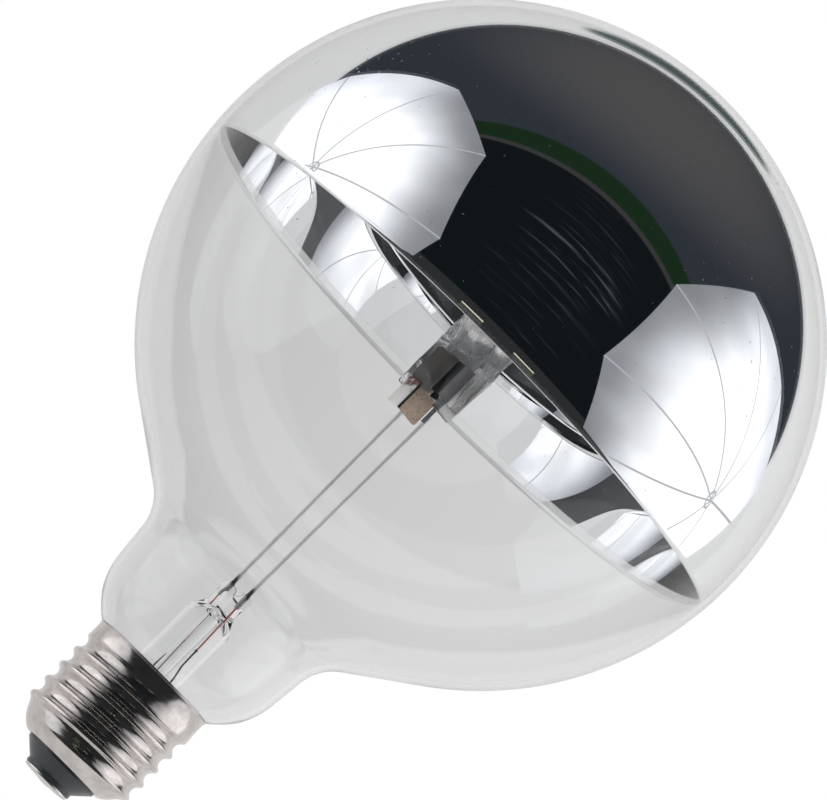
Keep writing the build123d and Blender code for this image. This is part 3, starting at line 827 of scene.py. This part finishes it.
# %% [markdown]
# The silver crown
#
# The silver lies on the inside of the glass and ends in a level rim just below the globe's middle.
# It is a thin shell of its own, a hair inside the glass, and it mirrors on both faces: the outside
# shows the room through the glass, and the inside shows it through the clear half. Its edge is far
# too thin to see, but the silver itself thins out in a narrow band above the rim at the back. A few
# grains of dust keep it from looking like a perfect mirror.

# %% Silver the crown
film_gap = 0.01 * MM
film_thick = 0.02 * MM
film_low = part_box("crown_mirror")[0]
dust_scale = 1500.0
dust_share = (0.79, 0.83)
dust_rough = 0.35
dust_tone = (0.70, 0.71, 0.73, 1)
silver_tone = (0.93, 0.935, 0.94, 1)
patch_scale = 30.0           # of the patches where the dust lies thicker
band_height = 2.4 * MM
band_soft = 0.25 * MM
band_alpha = 0.2


def silver():
    """Bright silver with a few matt grains of dust."""
    material, shader, place = surface("silver_film")
    patches = noise(place, patch_scale, 1.0)
    grains = noise(place, dust_scale, 0.0)
    grains = times(grains, ramp(patches, 0.45, 0.62, 0.93, 1.0))
    dust = ramp(grains, *dust_share)
    _, depth, height = parts_of(place)
    band_top = film_low.z + band_height
    band = ramp(height, band_top + band_soft, band_top - band_soft)
    at_back = ramp(depth, -0.5 * globe_radius, 0.3 * globe_radius)
    thin = times(band, at_back)
    put(shader, {"Base Color": blend(dust, silver_tone, dust_tone), "Metallic": 1.0})
    put(shader, {"Roughness": times(dust, dust_rough)})
    put(shader, {"Alpha": ramp(thin, 0.0, 1.0, 1.0, band_alpha)})
    return material


outside = globe_radius - wall - film_gap
inside = outside - film_thick
drop = globe_z - film_low.z
outer_turn = -degrees(asin(drop / outside))
inner_turn = -degrees(asin(drop / inside))
film = arc((0, globe_z), outside, 90, outer_turn, 90) + arc((0, globe_z), inside, inner_turn, 90, 90)
finish_piece("silver_crown", lathe(film, globe_steps), silver(), ["crown_mirror"])

# %% [markdown]
# Metals, mouldings and wires
#
# The nickel of the cap is bright but rolled and handled: fine grain in its gloss, a cloudy tone,
# slight waves, specks near the lower edge and one small punch mark. Its sheen is broad, so that the
# two studio lamps show on it as soft rounded patches. The other metals share one recipe, and so do
# the moulding and the cement.

# %% Mix the metals
mottle_share = 0.35
nickel_bright = (0.68, 0.63, 0.60, 1)
nickel_dull = (0.36, 0.335, 0.315, 1)
cloud_scale = 330.0
speck_heights = (9.5 * MM, 4.5 * MM)
wave_depth = 1.6e-5
punch_place = (0.00018, 0.0, 0.0170)
punch_radius = 0.0007
punch_depth = 0.00022


def metal(name, colour, dull, rough, scale, stretch, depth, specks=0.0):
    """Metal with fine grain in colour, gloss and height."""
    material, shader, _, mottle, spots = grained(name, scale, stretch)
    share = plus(times(mottle, mottle_share), times(spots, specks))
    tone = blend(share, colour, dull)
    worked(shader, tone, 1.0, mottle, (rough * 0.8, rough * 1.25), mottle, depth)
    return material


def rolled_nickel():
    """Nickel with cloudy tone, slight waves from the rolls, and one small punch mark."""
    material, shader, place, mottle, specks = grained("nickel", 1500.0, 3.0)
    cloud = noise(place, cloud_scale, 3.0, 0.6)
    low = ramp(parts_of(place)[2], *speck_heights, 0.0, 0.5)
    share = plus(ramp(cloud, 0.35, 0.7, 0.0, 0.5), times(specks, low))
    tone = blend(share, nickel_bright, nickel_dull)
    side, depth, height = parts_of(vectors("SUBTRACT", place, punch_place))
    away = vectors("LENGTH", joined(side, 0.0, height))
    punch = ramp(away, punch_radius, 0.0, 0.0, punch_depth)
    punch = times(punch, maths("LESS_THAN", depth, 0.0))
    worked(shader, tone, 1.0, mottle, (0.14, 0.21), minus(times(cloud, wave_depth), punch), 1.0)
    return material


def painted(name, colour, other, rough, scale, depth):
    """Matt or satin material with mottled colour."""
    material, shader, _, mottle, _ = grained(name, scale)
    tone = blend(mottle, colour, other)
    worked(shader, tone, 0.0, mottle, (rough * 0.85, rough * 1.2), mottle, depth)
    return material


grey_nickel = (0.74, 0.73, 0.71, 1), (0.42, 0.41, 0.40, 1)
contact_nickel = metal("contact_nickel", *grey_nickel, 0.3, 2200.0, 1.0, 4e-6, 0.6)
nickel = rolled_nickel()
tin = metal("tin", grey(0.70), grey(0.45), 0.35, 1800.0, 1.0, 1e-5, 0.5)
wire_grain = (1600.0, 0.3, 2e-6)
copper = metal("copper_sheath", (0.80, 0.45, 0.38, 1), (0.55, 0.30, 0.26, 1), 0.35, *wire_grain)
dark_wire = metal("dark_wire", grey(0.20), grey(0.06), 0.4, *wire_grain)
tungsten = metal("tungsten", (0.42, 0.42, 0.43, 1), (0.25, 0.25, 0.26, 1), 0.35, *wire_grain)
strip_metal = metal("strip_metal", (0.13, 0.135, 0.14, 1), grey(0.04), 0.35, 1300.0, 0.5, 6e-6, 0.6)
# Painted light and shade: both foils are the same metal, and this one is painted lighter as the lit
# side.
foil_tones = (0.19, 0.18, 0.17, 1), (0.10, 0.095, 0.09, 1)
foil_painted_lit = metal("foil_painted_lit", *foil_tones, 0.5, 420.0, 0.35, 3e-6)
moulding_tones = (0.030, 0.036, 0.042, 1), (0.045, 0.052, 0.058, 1)
black_moulding = painted("black_moulding", *moulding_tones, 0.30, 700.0, 6e-6)
cement = painted("cement", (0.56, 0.51, 0.43, 1), (0.42, 0.38, 0.31, 1), 0.9, 900.0, 4e-5)
print("metals mixed")

# %% [markdown]
# The screw shell
#
# The shell is thin sheet, rolled into a round thread. A thread is not a body of revolution, but the
# blank that it is rolled from is: an outline with fine rows is spun, and then every point is moved
# in or out to the rolled radius for its own angle and height. The groove is a wide arc and the
# crest a narrower one, and both fade out over part of a turn at the thread's ends. Last, the sheet
# gets its thickness inwards.

# %% Roll the screw shell
sheet = 0.3 * MM
thread_pitch = 3.629 * MM
crest_radius = 13.15 * MM
root_radius = 12.1 * MM
groove_z = 21.15 * MM
groove_top_turns = 0.95
groove_low_turns = -3.94
groove_share = 0.70
runout_turns = 0.40
least_rise = 1e-7
collar_step = 0.17 * MM
collar_low = 25.3 * MM
bead_height = 0.5 * MM
bead_rise = 0.17 * MM
bead_steps = 8
shoulder_top = 9.0 * MM
shoulder_foot = (9.0 * MM, 5.0 * MM)
shoulder_bulge = 0.45 * MM
opening = (8.05 * MM, 4.95 * MM)
foot_ease = 0.1 * MM
foot_round = 0.25 * MM
shell_steps = 288
shell_row = 0.2 * MM


def rolled_radius(turn, z):
    """Outside radius of the thread at a share of a turn and a height."""
    place = (z - groove_z) / thread_pitch - turn
    near = round(place)
    helix = turn + near
    crest_helix = helix + (0.5 if place > near else -0.5)
    depth = crest_radius - root_radius
    groove = crest_radius - depth * fade((groove_top_turns - helix) / runout_turns)
    crest = root_radius + depth * fade((crest_helix - groove_low_turns) / runout_turns)
    rise = max(crest - groove, least_rise)
    half = thread_pitch / 2
    lean = 2 * atan2(rise, half)
    groove_bend = half * groove_share / sin(lean)
    crest_bend = half * (1 - groove_share) / sin(lean)
    away = abs(place - near) * thread_pitch
    if away < half * groove_share:
        return groove + groove_bend - sqrt(groove_bend**2 - away**2)
    return groove + rise - crest_bend + sqrt(crest_bend**2 - (half - away) ** 2)


def shoulder_radius(z):
    """Outside radius of the round shoulder below the thread."""
    low = Vector(shoulder_foot)
    high = Vector((root_radius, shoulder_top))
    half = (high - low) / 2
    bend = (half.length**2 + shoulder_bulge**2) / (2 * shoulder_bulge)
    centre = low + half + Vector((half.y, -half.x)) / half.length * (shoulder_bulge - bend)
    return centre.x + sqrt(bend**2 - (z - centre.y) ** 2)


def shell_radius(turn, z):
    """Outside radius of shoulder, thread and collar."""
    radius = rolled_radius(turn, z)
    if z < shoulder_top:
        radius -= root_radius - shoulder_radius(z)
    collar_start = collar_low - thread_pitch / 2
    return radius - collar_step * fade((z - collar_start) / (collar_low - collar_start))


collar_radius = crest_radius - collar_step
rows = round((collar_low - shoulder_foot[1]) / shell_row)
heights = [shoulder_foot[1] + (collar_low - shoulder_foot[1]) * row / rows for row in range(rows + 1)]
foot_low = (shoulder_foot[0] - foot_ease, opening[1])
foot_high = (shoulder_foot[0] + foot_ease, heights[1])
blank = rounded([opening, foot_low, foot_high], foot_round)[:-1]
blank += [(root_radius, z) for z in heights[1:]]
bead = []
for step in range(bead_steps + 1):
    share = step / bead_steps
    bulge = bead_rise * sin(pi * share)
    bead.append((collar_radius + bulge, collar_top - bead_height * (1 - share)))
shell = lathe(blank + bead, shell_steps, closed=False)
for vert in shell.verts:
    z = vert.co.z
    if heights[1] - least_rise <= z <= collar_low + least_rise:
        turn = Vector((1, 0)).angle_signed(Vector((vert.co.x, vert.co.y))) / (-2 * pi) % 1.0
        share = shell_radius(turn, z) / hypot(vert.co.x, vert.co.y)
        vert.co.x *= share
        vert.co.y *= share
shell.normal_update()
bmesh.ops.solidify(shell, geom=shell.faces[:], thickness=sheet)
finish_piece("rolled_shell", shell, nickel, ["screw_shell"], 60.0)

# %% [markdown]
# Insulator, contact and solder
#
# The black insulator is moulded, with a dish inside for the contact's flanged eyelet. The contact is
# a stamped dome, and the drop of solder in its middle is the lamp's lowest point. All three are
# turned from short outlines whose edges are rounded a little, because a sharp edge catches no light.

# %% Turn the insulator and the contact
base_steps = 192
edge_round = 0.12 * MM
contact_round = 0.08 * MM
insulator_outline = from_mm([
    (5.6, 8.0), (11.0, 8.0), (8.75, 5.28), (7.9, 5.28), (7.9, 4.45), (5.13, 1.86),
    (5.13, 1.0), (1.33, 1.0), (1.33, 6.5), (2.6, 6.5), (4.1, 8.0),
])
insulator = lathe(rounded(insulator_outline, edge_round), base_steps)
finish_piece("moulded_insulator", insulator, black_moulding, ["cap_insulator"], 50.0)

contact_rim = 4.9
eyelet_bore = 0.9
dome_high = 0.6
dome_drop = 0.47
angles = [step * pi / 20 for step in range(1, 8)]
dome = [(contact_rim * cos(angle), dome_high - dome_drop * sin(angle)) for angle in angles]
eyelet = [
    (eyelet_bore, 6.88), (2.1, 6.88), (2.1, 6.53), (1.3, 6.53), (1.3, 0.97),
    (contact_rim, 0.97), (contact_rim, 0.68), dome[0],
]
contact_outline = rounded(from_mm(eyelet), contact_round)
contact_outline += from_mm(dome[1:] + [(eyelet_bore, dome_high - dome_drop)])
contact = lathe(contact_outline, base_steps)
finish_piece("stamped_contact", contact, contact_nickel, ["centre_contact"], 50.0)

solder_rim = 1.5 * MM
solder_rise = 0.15 * MM
solder_stem = 0.89 * MM      # in the eyelet's bore
solder_top = 2.0 * MM
drop_radius = (solder_rim**2 + solder_rise**2) / (2 * solder_rise)
drop_turn = degrees(asin(solder_rim / drop_radius))
solder = arc((0, drop_radius), drop_radius, -90, -90 + drop_turn, 10)
solder += [(solder_stem, solder_rise + 0.02 * MM), (solder_stem, solder_top), (0.0, solder_top)]
finish_piece("solder_drop", lathe(solder, 64), tin, ["contact_solder"], 50.0)

# %% [markdown]
# The glass stem
#
# Flare, tube, press and exhaust tube are four pieces of glass that the maker melts into one, so
# here they are one closed piece. The press is the hard part: a tube squeezed flat round two wires,
# with a bead of glass at each lead. It is described as a distance: how far a point lies from a
# flattened bar joined smoothly to two balls. A dome of fine rows is spun on top of the tube, and
# each of its points is moved along its own ray until that distance is zero.

# %% Press the stem
stem_shift = 0.55 * MM
burner_turn = radians(-48.0)
tube_radius = 4.83
tube_inside = 3.98
flare_top = 27.2
land_z = 21.37
land_radius = 8.65
flare_rim = 10.95
flare_thick = 1.0
press_low = 41.0
press_waist = 44.8
press_middle = 45.0
press_width = 7.6
press_thick = 3.2
press_top = 47.6
press_edge = 0.9
lobe_radius = 1.68
lobe_z = 48.25
lobe_merge = 0.7
lead_foot_x = 2.62
exhaust_radius = 1.7
exhaust_bore = 1.0
exhaust_tip = 14.2
hole_radius = 0.8
hole_z = 42.9
tube_rows = (31.0, 35.0, 38.0, 40.4)
tube_end = 40.6
join_z = 43.0
join_gap = 0.6
lip_z = 42.9
lip_round = 0.35
exhaust_rows = (40.0, 36.0, 32.0, 28.0, 24.0, 20.0, 17.0)
hole_reach = (-1.0, 8.0)
bore_ends = (1.2, 0.9)       # above the exhaust tube's tip and above the hole
cast_reach = 9.0
cast_halvings = 26
close = 0.01
stem_steps = 128


def bar_distance(x, y, half_width, half_thick):
    """Distance from a flat bar with round ends, in its section."""
    straight = half_width - half_thick
    return hypot(max(abs(x) - straight, 0.0), y) - half_thick


def smooth_union(first, second, width):
    """Smaller of two distances, with the crease between them filled."""
    share = min(max(0.5 + (second - first) / (2 * width), 0.0), 1.0)
    return second * (1 - share) + first * share - width * share * (1 - share)


def press_distance(point):
    """Distance from the pressed glass, in millimetres."""
    x, y, z = point
    share = fade((z - press_low) / (press_waist - press_low))
    half_width = tube_radius + (press_width / 2 - tube_radius) * share
    half_thick = tube_radius + (press_thick / 2 - tube_radius) * share
    side = bar_distance(x, y, half_width, half_thick)
    bar = -smooth_union(-side, press_top - z, press_edge)
    lobe = hypot(abs(x) - lead_foot_x, hypot(y, z - lobe_z)) - lobe_radius
    return smooth_union(bar, lobe, lobe_merge)


def cast(centre, way, distance):
    """Point where a ray from inside a shape leaves it, found by halving."""
    near = 0.0
    far = cast_reach
    for _ in range(cast_halvings):
        middle = (near + far) / 2
        if distance(centre + way * middle) < 0:
            near = middle
        else:
            far = middle
    return centre + way * near


def stem_outline():
    """Outline in millimetres: dome, tube, flare and rim outside, bore and exhaust tube inside."""
    points = arc((0, press_middle), tube_radius, 90, 0, 44)
    points += upright(tube_radius, press_middle, press_low, 24)
    points += upright(tube_radius, press_low, flare_top, 6)
    points += curve(points[-1], (0, -1), (land_radius, land_z), (1, -0.25), 16)[1:]
    low = land_z - flare_thick
    points += arc((flare_rim, land_z - flare_thick / 2), flare_thick / 2, 90, -90, 8)
    inside = curve((tube_inside, flare_top), (0, -1), (land_radius, low), (1, -0.25), 16)
    points += inside[::-1]
    points += [(tube_inside, z) for z in tube_rows]
    points += curve((tube_inside, tube_end), (0, 1), (exhaust_radius + join_gap, join_z), (-1, 0.8), 10)
    points += arc((exhaust_radius + lip_round, lip_z), lip_round, 60, 180, 5)
    points += [(exhaust_radius, z) for z in exhaust_rows]
    return points + arc((0, exhaust_tip + exhaust_radius), exhaust_radius, 0, -90, 10)


def to_burner(form, shift):
    """A form in millimetres put into metres, turned to the pair of leads and moved off the axis."""
    spin = Matrix.Rotation(burner_turn, 3, "Z")
    bmesh.ops.scale(form, vec=(MM, MM, MM), verts=form.verts[:])
    bmesh.ops.rotate(form, cent=(0, 0, 0), matrix=spin, verts=form.verts[:])
    bmesh.ops.translate(form, vec=(shift, 0, 0), verts=form.verts[:])
    return form


def rod_form(radius, low, high, steps):
    """Closed bar with round ends along Z."""
    points = arc((0, low + radius), radius, -90, 0, 8) + arc((0, high - radius), radius, 0, 90, 8)
    return lathe(points, steps)


def carve(form, cutters):
    """Form with the cutters' shapes taken out of it."""
    body = new_object("carved", mesh_from("carved", form))
    tools = []
    for cutter in cutters:
        tool = new_object("cutter", mesh_from("cutter", cutter))
        cut = body.modifiers.new("cut", "BOOLEAN")
        cut.operation = "DIFFERENCE"
        cut.solver = "EXACT"
        cut.object = tool
        tools.append(tool)
    bpy.context.view_layer.update()
    result = bmesh.new()
    result.from_mesh(body.evaluated_get(bpy.context.evaluated_depsgraph_get()).to_mesh())
    for item in [body, *tools]:
        mesh = item.data
        bpy.data.objects.remove(item)
        bpy.data.meshes.remove(mesh)
    return result


stem = lathe(stem_outline(), stem_steps)
for vert in stem.verts:
    on_wall = hypot(vert.co.x, vert.co.y) > tube_radius - close
    if vert.co.z > press_middle - close or (vert.co.z > press_low and on_wall):
        centre = Vector((0, 0, min(vert.co.z, press_middle)))
        way = (vert.co - centre).normalized()
        vert.co = cast(centre, way, press_distance)
hole = rod_form(hole_radius, *hole_reach, 32)
bmesh.ops.rotate(hole, cent=(0, 0, 0), matrix=Matrix.Rotation(pi / 2, 3, "X"), verts=hole.verts[:])
bmesh.ops.translate(hole, vec=(0, 0, hole_z), verts=hole.verts[:])
bore = rod_form(exhaust_bore, exhaust_tip + bore_ends[0], hole_z + bore_ends[1], 32)
stem = carve(to_burner(stem, stem_shift), [to_burner(bore, stem_shift), to_burner(hole, stem_shift)])
finish_piece("melted_stem", stem, stem_clear, ["stem_glass", "exhaust_tube"], 45.0)

# %% [markdown]
# The quartz capsule
#
# The capsule starts as a round tube. Its lower end is softened and pinched into a slab round the
# foils, and the slab flows into the round body over a short shoulder. So the outline is spun like a
# bottle, and each point below the shoulder is moved out or in to a rounded rectangle whose sides
# and corners change with the height. A few slow waves are added where the pinching left them. The
# hollow inside is spun on its own, turned inside out and joined, and the gap between the two feet
# is cut last.

# %% Pinch the capsule
capsule_shift = -0.18 * MM
capsule_radius = 5.9
capsule_wall = 0.9
slab_half = (6.25, 3.0)
slab_corner = 1.1
slab_low = 96.7
slab_high = 107.6
shoulder_high = 113.4
dome_z = 127.0
body_rows = (116.0, 119.0, 122.0, 124.5)
tip_radius = 1.3
tip_flare = 0.5
tip_rise = 2.4
tip_drop = 0.35
tip_end = 0.55
foot_rise = 2.3
foot_width = 0.65
gap_round = 0.4
edge_roll = 0.35
bore_floor = 112.4
bore_floor_radius = 3.5
bore_bevel = 2.6
bore_round = 1.4
capsule_steps = 256
pinch_wave = 0.07


def slab_distance(x, y, z):
    """Distance from the capsule's section at a height: rounded rectangle, then circle."""
    share = fade((z - slab_high) / (shoulder_high - slab_high))
    half_x = slab_half[0] + (capsule_radius - slab_half[0]) * share
    half_y = slab_half[1] + (capsule_radius - slab_half[1]) * share
    corner = slab_corner + (capsule_radius - slab_corner) * share
    over_x = abs(x) - (half_x - corner)
    over_y = abs(y) - (half_y - corner)
    return hypot(max(over_x, 0.0), max(over_y, 0.0)) + min(max(over_x, over_y), 0.0) - corner


def capsule_outline():
    """Outside outline in millimetres, from the pinch's foot to the sealed tip."""
    radius = capsule_radius
    points = [(radius * step / 6, slab_low) for step in range(6)]
    points += arc((radius - edge_roll, slab_low + edge_roll), edge_roll, -90, 0, 5)
    points += upright(radius, slab_low, slab_high, 12)
    points += upright(radius, slab_high, shoulder_high, 24)
    points += [(radius, z) for z in body_rows]
    top = degrees(asin(sqrt(radius**2 - (tip_radius + tip_flare) ** 2) / radius))
    points += arc((0, dome_z), radius, 0, top, 24)
    tip_top = dome_z + radius + tip_rise - tip_drop
    points += curve(points[-1], (-0.9, 0.4), (tip_end, tip_top), (-0.25, 1), 8)[1:]
    return points + arc((0, tip_top), tip_end, 0, 90, 6)[1:]


def bore_outline():
    """Outline of the hollow in millimetres."""
    radius = capsule_radius - capsule_wall
    floor = [(0.0, bore_floor), (bore_floor_radius, bore_floor), (radius, bore_floor + bore_bevel)]
    points = rounded(floor + [(radius, dome_z - 1)], bore_round, 6)[:-1]
    return points + arc((0, dome_z), radius, 0, 90, 20)


capsule = lathe(capsule_outline(), capsule_steps)
for vert in capsule.verts:
    x, y, z = vert.co
    flat = hypot(x, y)
    if z < shoulder_high and flat > 0:
        way = Vector((x, y, 0)) / flat
        rim = cast(Vector((0, 0, z)), way, lambda point: slab_distance(*point)).xy.length
        wave = pinch_wave * sin(2.1 * z + 3.0 * way.x) * sin(1.3 * z - 5.0 * way.y + 1.0)
        rim += wave * fade((z - slab_low - 1) / 2) * fade((shoulder_high + 0.5 - z) / 3)
        reach = rim * flat / capsule_radius
        vert.co = Vector((way.x * reach, way.y * reach, z))
cavity = lathe(bore_outline(), 128)
bmesh.ops.reverse_faces(cavity, faces=cavity.faces[:])
cavity_mesh = mesh_from("cavity", cavity)
capsule.from_mesh(cavity_mesh)
bpy.data.meshes.remove(cavity_mesh)
gap = bmesh.new()
bmesh.ops.create_cube(gap, size=1.0)
gap_size = (2 * (slab_half[0] - foot_width), 4 * slab_half[1], 2 * foot_rise)
bmesh.ops.scale(gap, vec=gap_size, verts=gap.verts[:])
bmesh.ops.translate(gap, vec=(0, 0, slab_low), verts=gap.verts[:])
top_edges = [edge for edge in gap.edges if min(vert.co.z for vert in edge.verts) > slab_low
             and abs(edge.verts[0].co.y - edge.verts[1].co.y) > slab_half[1]]
soften(gap, top_edges, gap_round, 5)
capsule = carve(to_burner(capsule, capsule_shift), [to_burner(gap, capsule_shift)])
finish_piece("pinched_capsule", capsule, quartz, ["capsule_quartz"], 45.0)

# %% [markdown]
# The folded tab
#
# The tab that joins a lead to its foil is a strip of sheet, folded once. Its middle line is drawn
# from above as two straight runs and a quarter turn, the sheet's thickness goes to either side of
# it, and the section is pulled down to the tab's height. Its edges are rounded a little and its two
# outer corners more, as a shear leaves them.

# %% Fold the tab
tab_top = 98.9
tab_height = 6.0
tab_thick = 0.25
tab_front = -1.645
tab_left_end = -5.3
tab_corner = -1.9
tab_bend = 0.5
tab_far = 4.3
tab_round = 0.7
tab_edge = 0.05


def folded_sheet():
    """Sheet folded to an angle, in millimetres in the capsule's frame."""
    line = [(tab_left_end, tab_front)]
    line += arc((tab_corner - tab_bend, tab_front + tab_bend), tab_bend, -90, 0, 8)
    line.append((tab_corner, tab_far))
    sides = []
    for number, point in enumerate(line):
        before = Vector(line[max(number - 1, 0)])
        after = Vector(line[min(number + 1, len(line) - 1)])
        across = (after - before).normalized().orthogonal() * tab_thick / 2
        sides.append((Vector(point) + across, Vector(point) - across))
    outline = [left for left, _ in sides] + [right for _, right in reversed(sides)]
    form = bmesh.new()
    low = tab_top - tab_height
    base = form.faces.new([form.verts.new((*point, low)) for point in outline])
    pulled = bmesh.ops.extrude_face_region(form, geom=[base])
    tops = [item for item in pulled["geom"] if isinstance(item, bmesh.types.BMVert)]
    bmesh.ops.translate(form, vec=(0, 0, tab_height), verts=tops)
    bmesh.ops.recalc_face_normals(form, faces=form.faces[:])
    return form


tab = folded_sheet()
far = [vert for vert in tab.verts if vert.co.y > tab_far - close and vert.co.z < tab_top - 1]
corner = [edge for edge in tab.edges if edge.verts[0] in far and edge.verts[1] in far]
soften(tab, corner, tab_round, 6)
hard = [edge for edge in tab.edges if edge.calc_face_angle(0.0) > radians(50)]
soften(tab, hard, tab_edge, 2)
print("tab has", len(tab.faces), "faces")

# %% [markdown]
# Heat marks on the leads and the weld tab, and painted light and shade on the tab and the foils
#
# Welding and sealing leave colour. Each stout lead is bright nickel with a dark oxidised stretch
# where it was sealed into the press. The folded tab is stained reddish brown at the top on the leaf
# that carries the foil, and has dark specks on the leaf across it. Its leaves are painted as the lit
# and the shaded side of one sheet, pale and tan, with painted shade in the bend between them. The
# second foil is painted darker as a shaded side, with a painted highlight on its outer strip. Where
# a mark sits is read from object coordinates, so it stays in its place on the wire.

# %% Mix the marked metals
burn_low = 50.4 * MM
burn_high = 52.4 * MM
sealed_z = 49.2 * MM
fold_left = -2.84 * MM
fold_right = -2.34 * MM
fold_soft = 0.06 * MM
highlight_start = 1.55 * MM
stain_share = 0.62           # of the tab's height, from the top
sealed_soft = 0.3 * MM


def burnt_lead():
    """Bright drawn wire, dark where it was sealed in."""
    material, shader, place, mottle, _ = grained("burnt_lead", 1700.0, 0.12)
    level = plus(parts_of(place)[2], times(minus(mottle, 0.5), 0.006))
    burn = ramp(level, burn_high, burn_low)
    burn = times(burn, ramp(level, sealed_z - sealed_soft, sealed_z, 0.45, 1.0))
    bright = blend(mottle, (1.0, 0.98, 0.95, 1), (0.74, 0.71, 0.68, 1))
    tone = blend(burn, bright, (0.10, 0.075, 0.07, 1))
    worked(shader, tone, 0.3, mottle, (0.3, 0.45), mottle, 2e-6)
    return material


def tab_stain_and_painted_light():
    """Pale leaf painted as the lit side, stained red-brown; tan leaf painted as the shaded side, with
    dark specks; painted shade in the bend.
    """
    material, shader, place, mottle, _ = grained("tab_stain_and_painted_light", 900.0, 0.35)
    cloud = noise(place, 900.0, 3.0, 0.6)
    side, _, height = parts_of(place)
    from_top = ramp(height, tab_top * MM, (tab_top - tab_height * stain_share) * MM)
    # Painted light: the leaf that carries the foil is painted near white as the sheet's lit side. The
    # stain on it is real.
    stain = ramp(minus(cloud, times(from_top, 0.38)), 0.28, 0.5)
    pale = blend(stain, (1.0, 0.96, 0.93, 1), (0.30, 0.14, 0.12, 1))
    speckle = ramp(noise(place, 2600.0, 2.0, 0.7), 0.52, 0.68)
    # Painted shade: the leaf across is painted a darker tan as the same sheet's shaded side. Its dark
    # specks are real.
    shaded_sandy = blend(cloud, (0.66, 0.52, 0.40, 1), (0.42, 0.31, 0.24, 1))
    shaded_sandy = blend(times(speckle, 0.65), shaded_sandy, (0.10, 0.07, 0.055, 1))
    # Painted shade: a dark band in the bend between the two leaves.
    fold_painted_shade = ramp(side, fold_left - fold_soft, fold_left + fold_soft)
    pale = blend(fold_painted_shade, pale, (0.05, 0.04, 0.037, 1))
    across = ramp(side, fold_right - fold_soft, fold_right + fold_soft)
    worked(shader, blend(across, pale, shaded_sandy), 0.35, mottle, (0.38, 0.55), cloud, 1.2e-5)
    return material


def foil_shade_and_highlight_painted():
    """Foil painted darker as a shaded side, with a painted highlight on its paler outer strip."""
    material, shader, place, mottle, _ = grained("foil_painted_shade_and_highlight", 420.0, 0.35)
    # Painted shade: this foil is painted darker than the other, as a shaded side of the same metal.
    dark = blend(mottle, (0.15, 0.16, 0.165, 1), (0.08, 0.085, 0.09, 1))
    pale = blend(mottle, (0.44, 0.43, 0.44, 1), (0.30, 0.29, 0.30, 1))
    # Painted highlight: a paler strip along the foil's outer edge.
    highlight_strip = ramp(parts_of(place)[0], highlight_start - fold_soft, highlight_start + fold_soft)
    worked(shader, blend(highlight_strip, dark, pale), 1.0, mottle, (0.36, 0.56), mottle, 3e-6)
    return material


lead_metal = burnt_lead()
tab_metal = tab_stain_and_painted_light()
foil_painted_shade_and_highlight = foil_shade_and_highlight_painted()
tab = to_burner(tab, capsule_shift)
finish_piece("folded_tab", tab, tab_metal, ["weld_tab_left"], 40.0)
print("marked metals mixed")

# %% [markdown]
# The pieces that keep their CAD mesh
#
# The wires, foils, weld pieces, filament and cement already have their true shape, so they only get
# their finish.

# %% Dress the CAD nodes
finishes = {
    "basing_cement": cement,
    "side_solder": tin,
    "seal_wire_left": copper,
    "seal_wire_right": copper,
    "outer_lead_centre": dark_wire,
    "outer_lead_side": dark_wire,
    "support_lead_left": lead_metal,
    "support_lead_right": lead_metal,
    "weld_strip_right": strip_metal,
    "foil_left": foil_painted_lit,
    "foil_right": foil_painted_shade_and_highlight,
    "filament_pin_left": tungsten,
    "filament_pin_right": tungsten,
    "filament_coil": tungsten,
}
for name, material in finishes.items():
    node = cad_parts[name]
    node.data.materials.clear()
    node.data.materials.append(material)
print("dressed", len(finishes), "nodes")
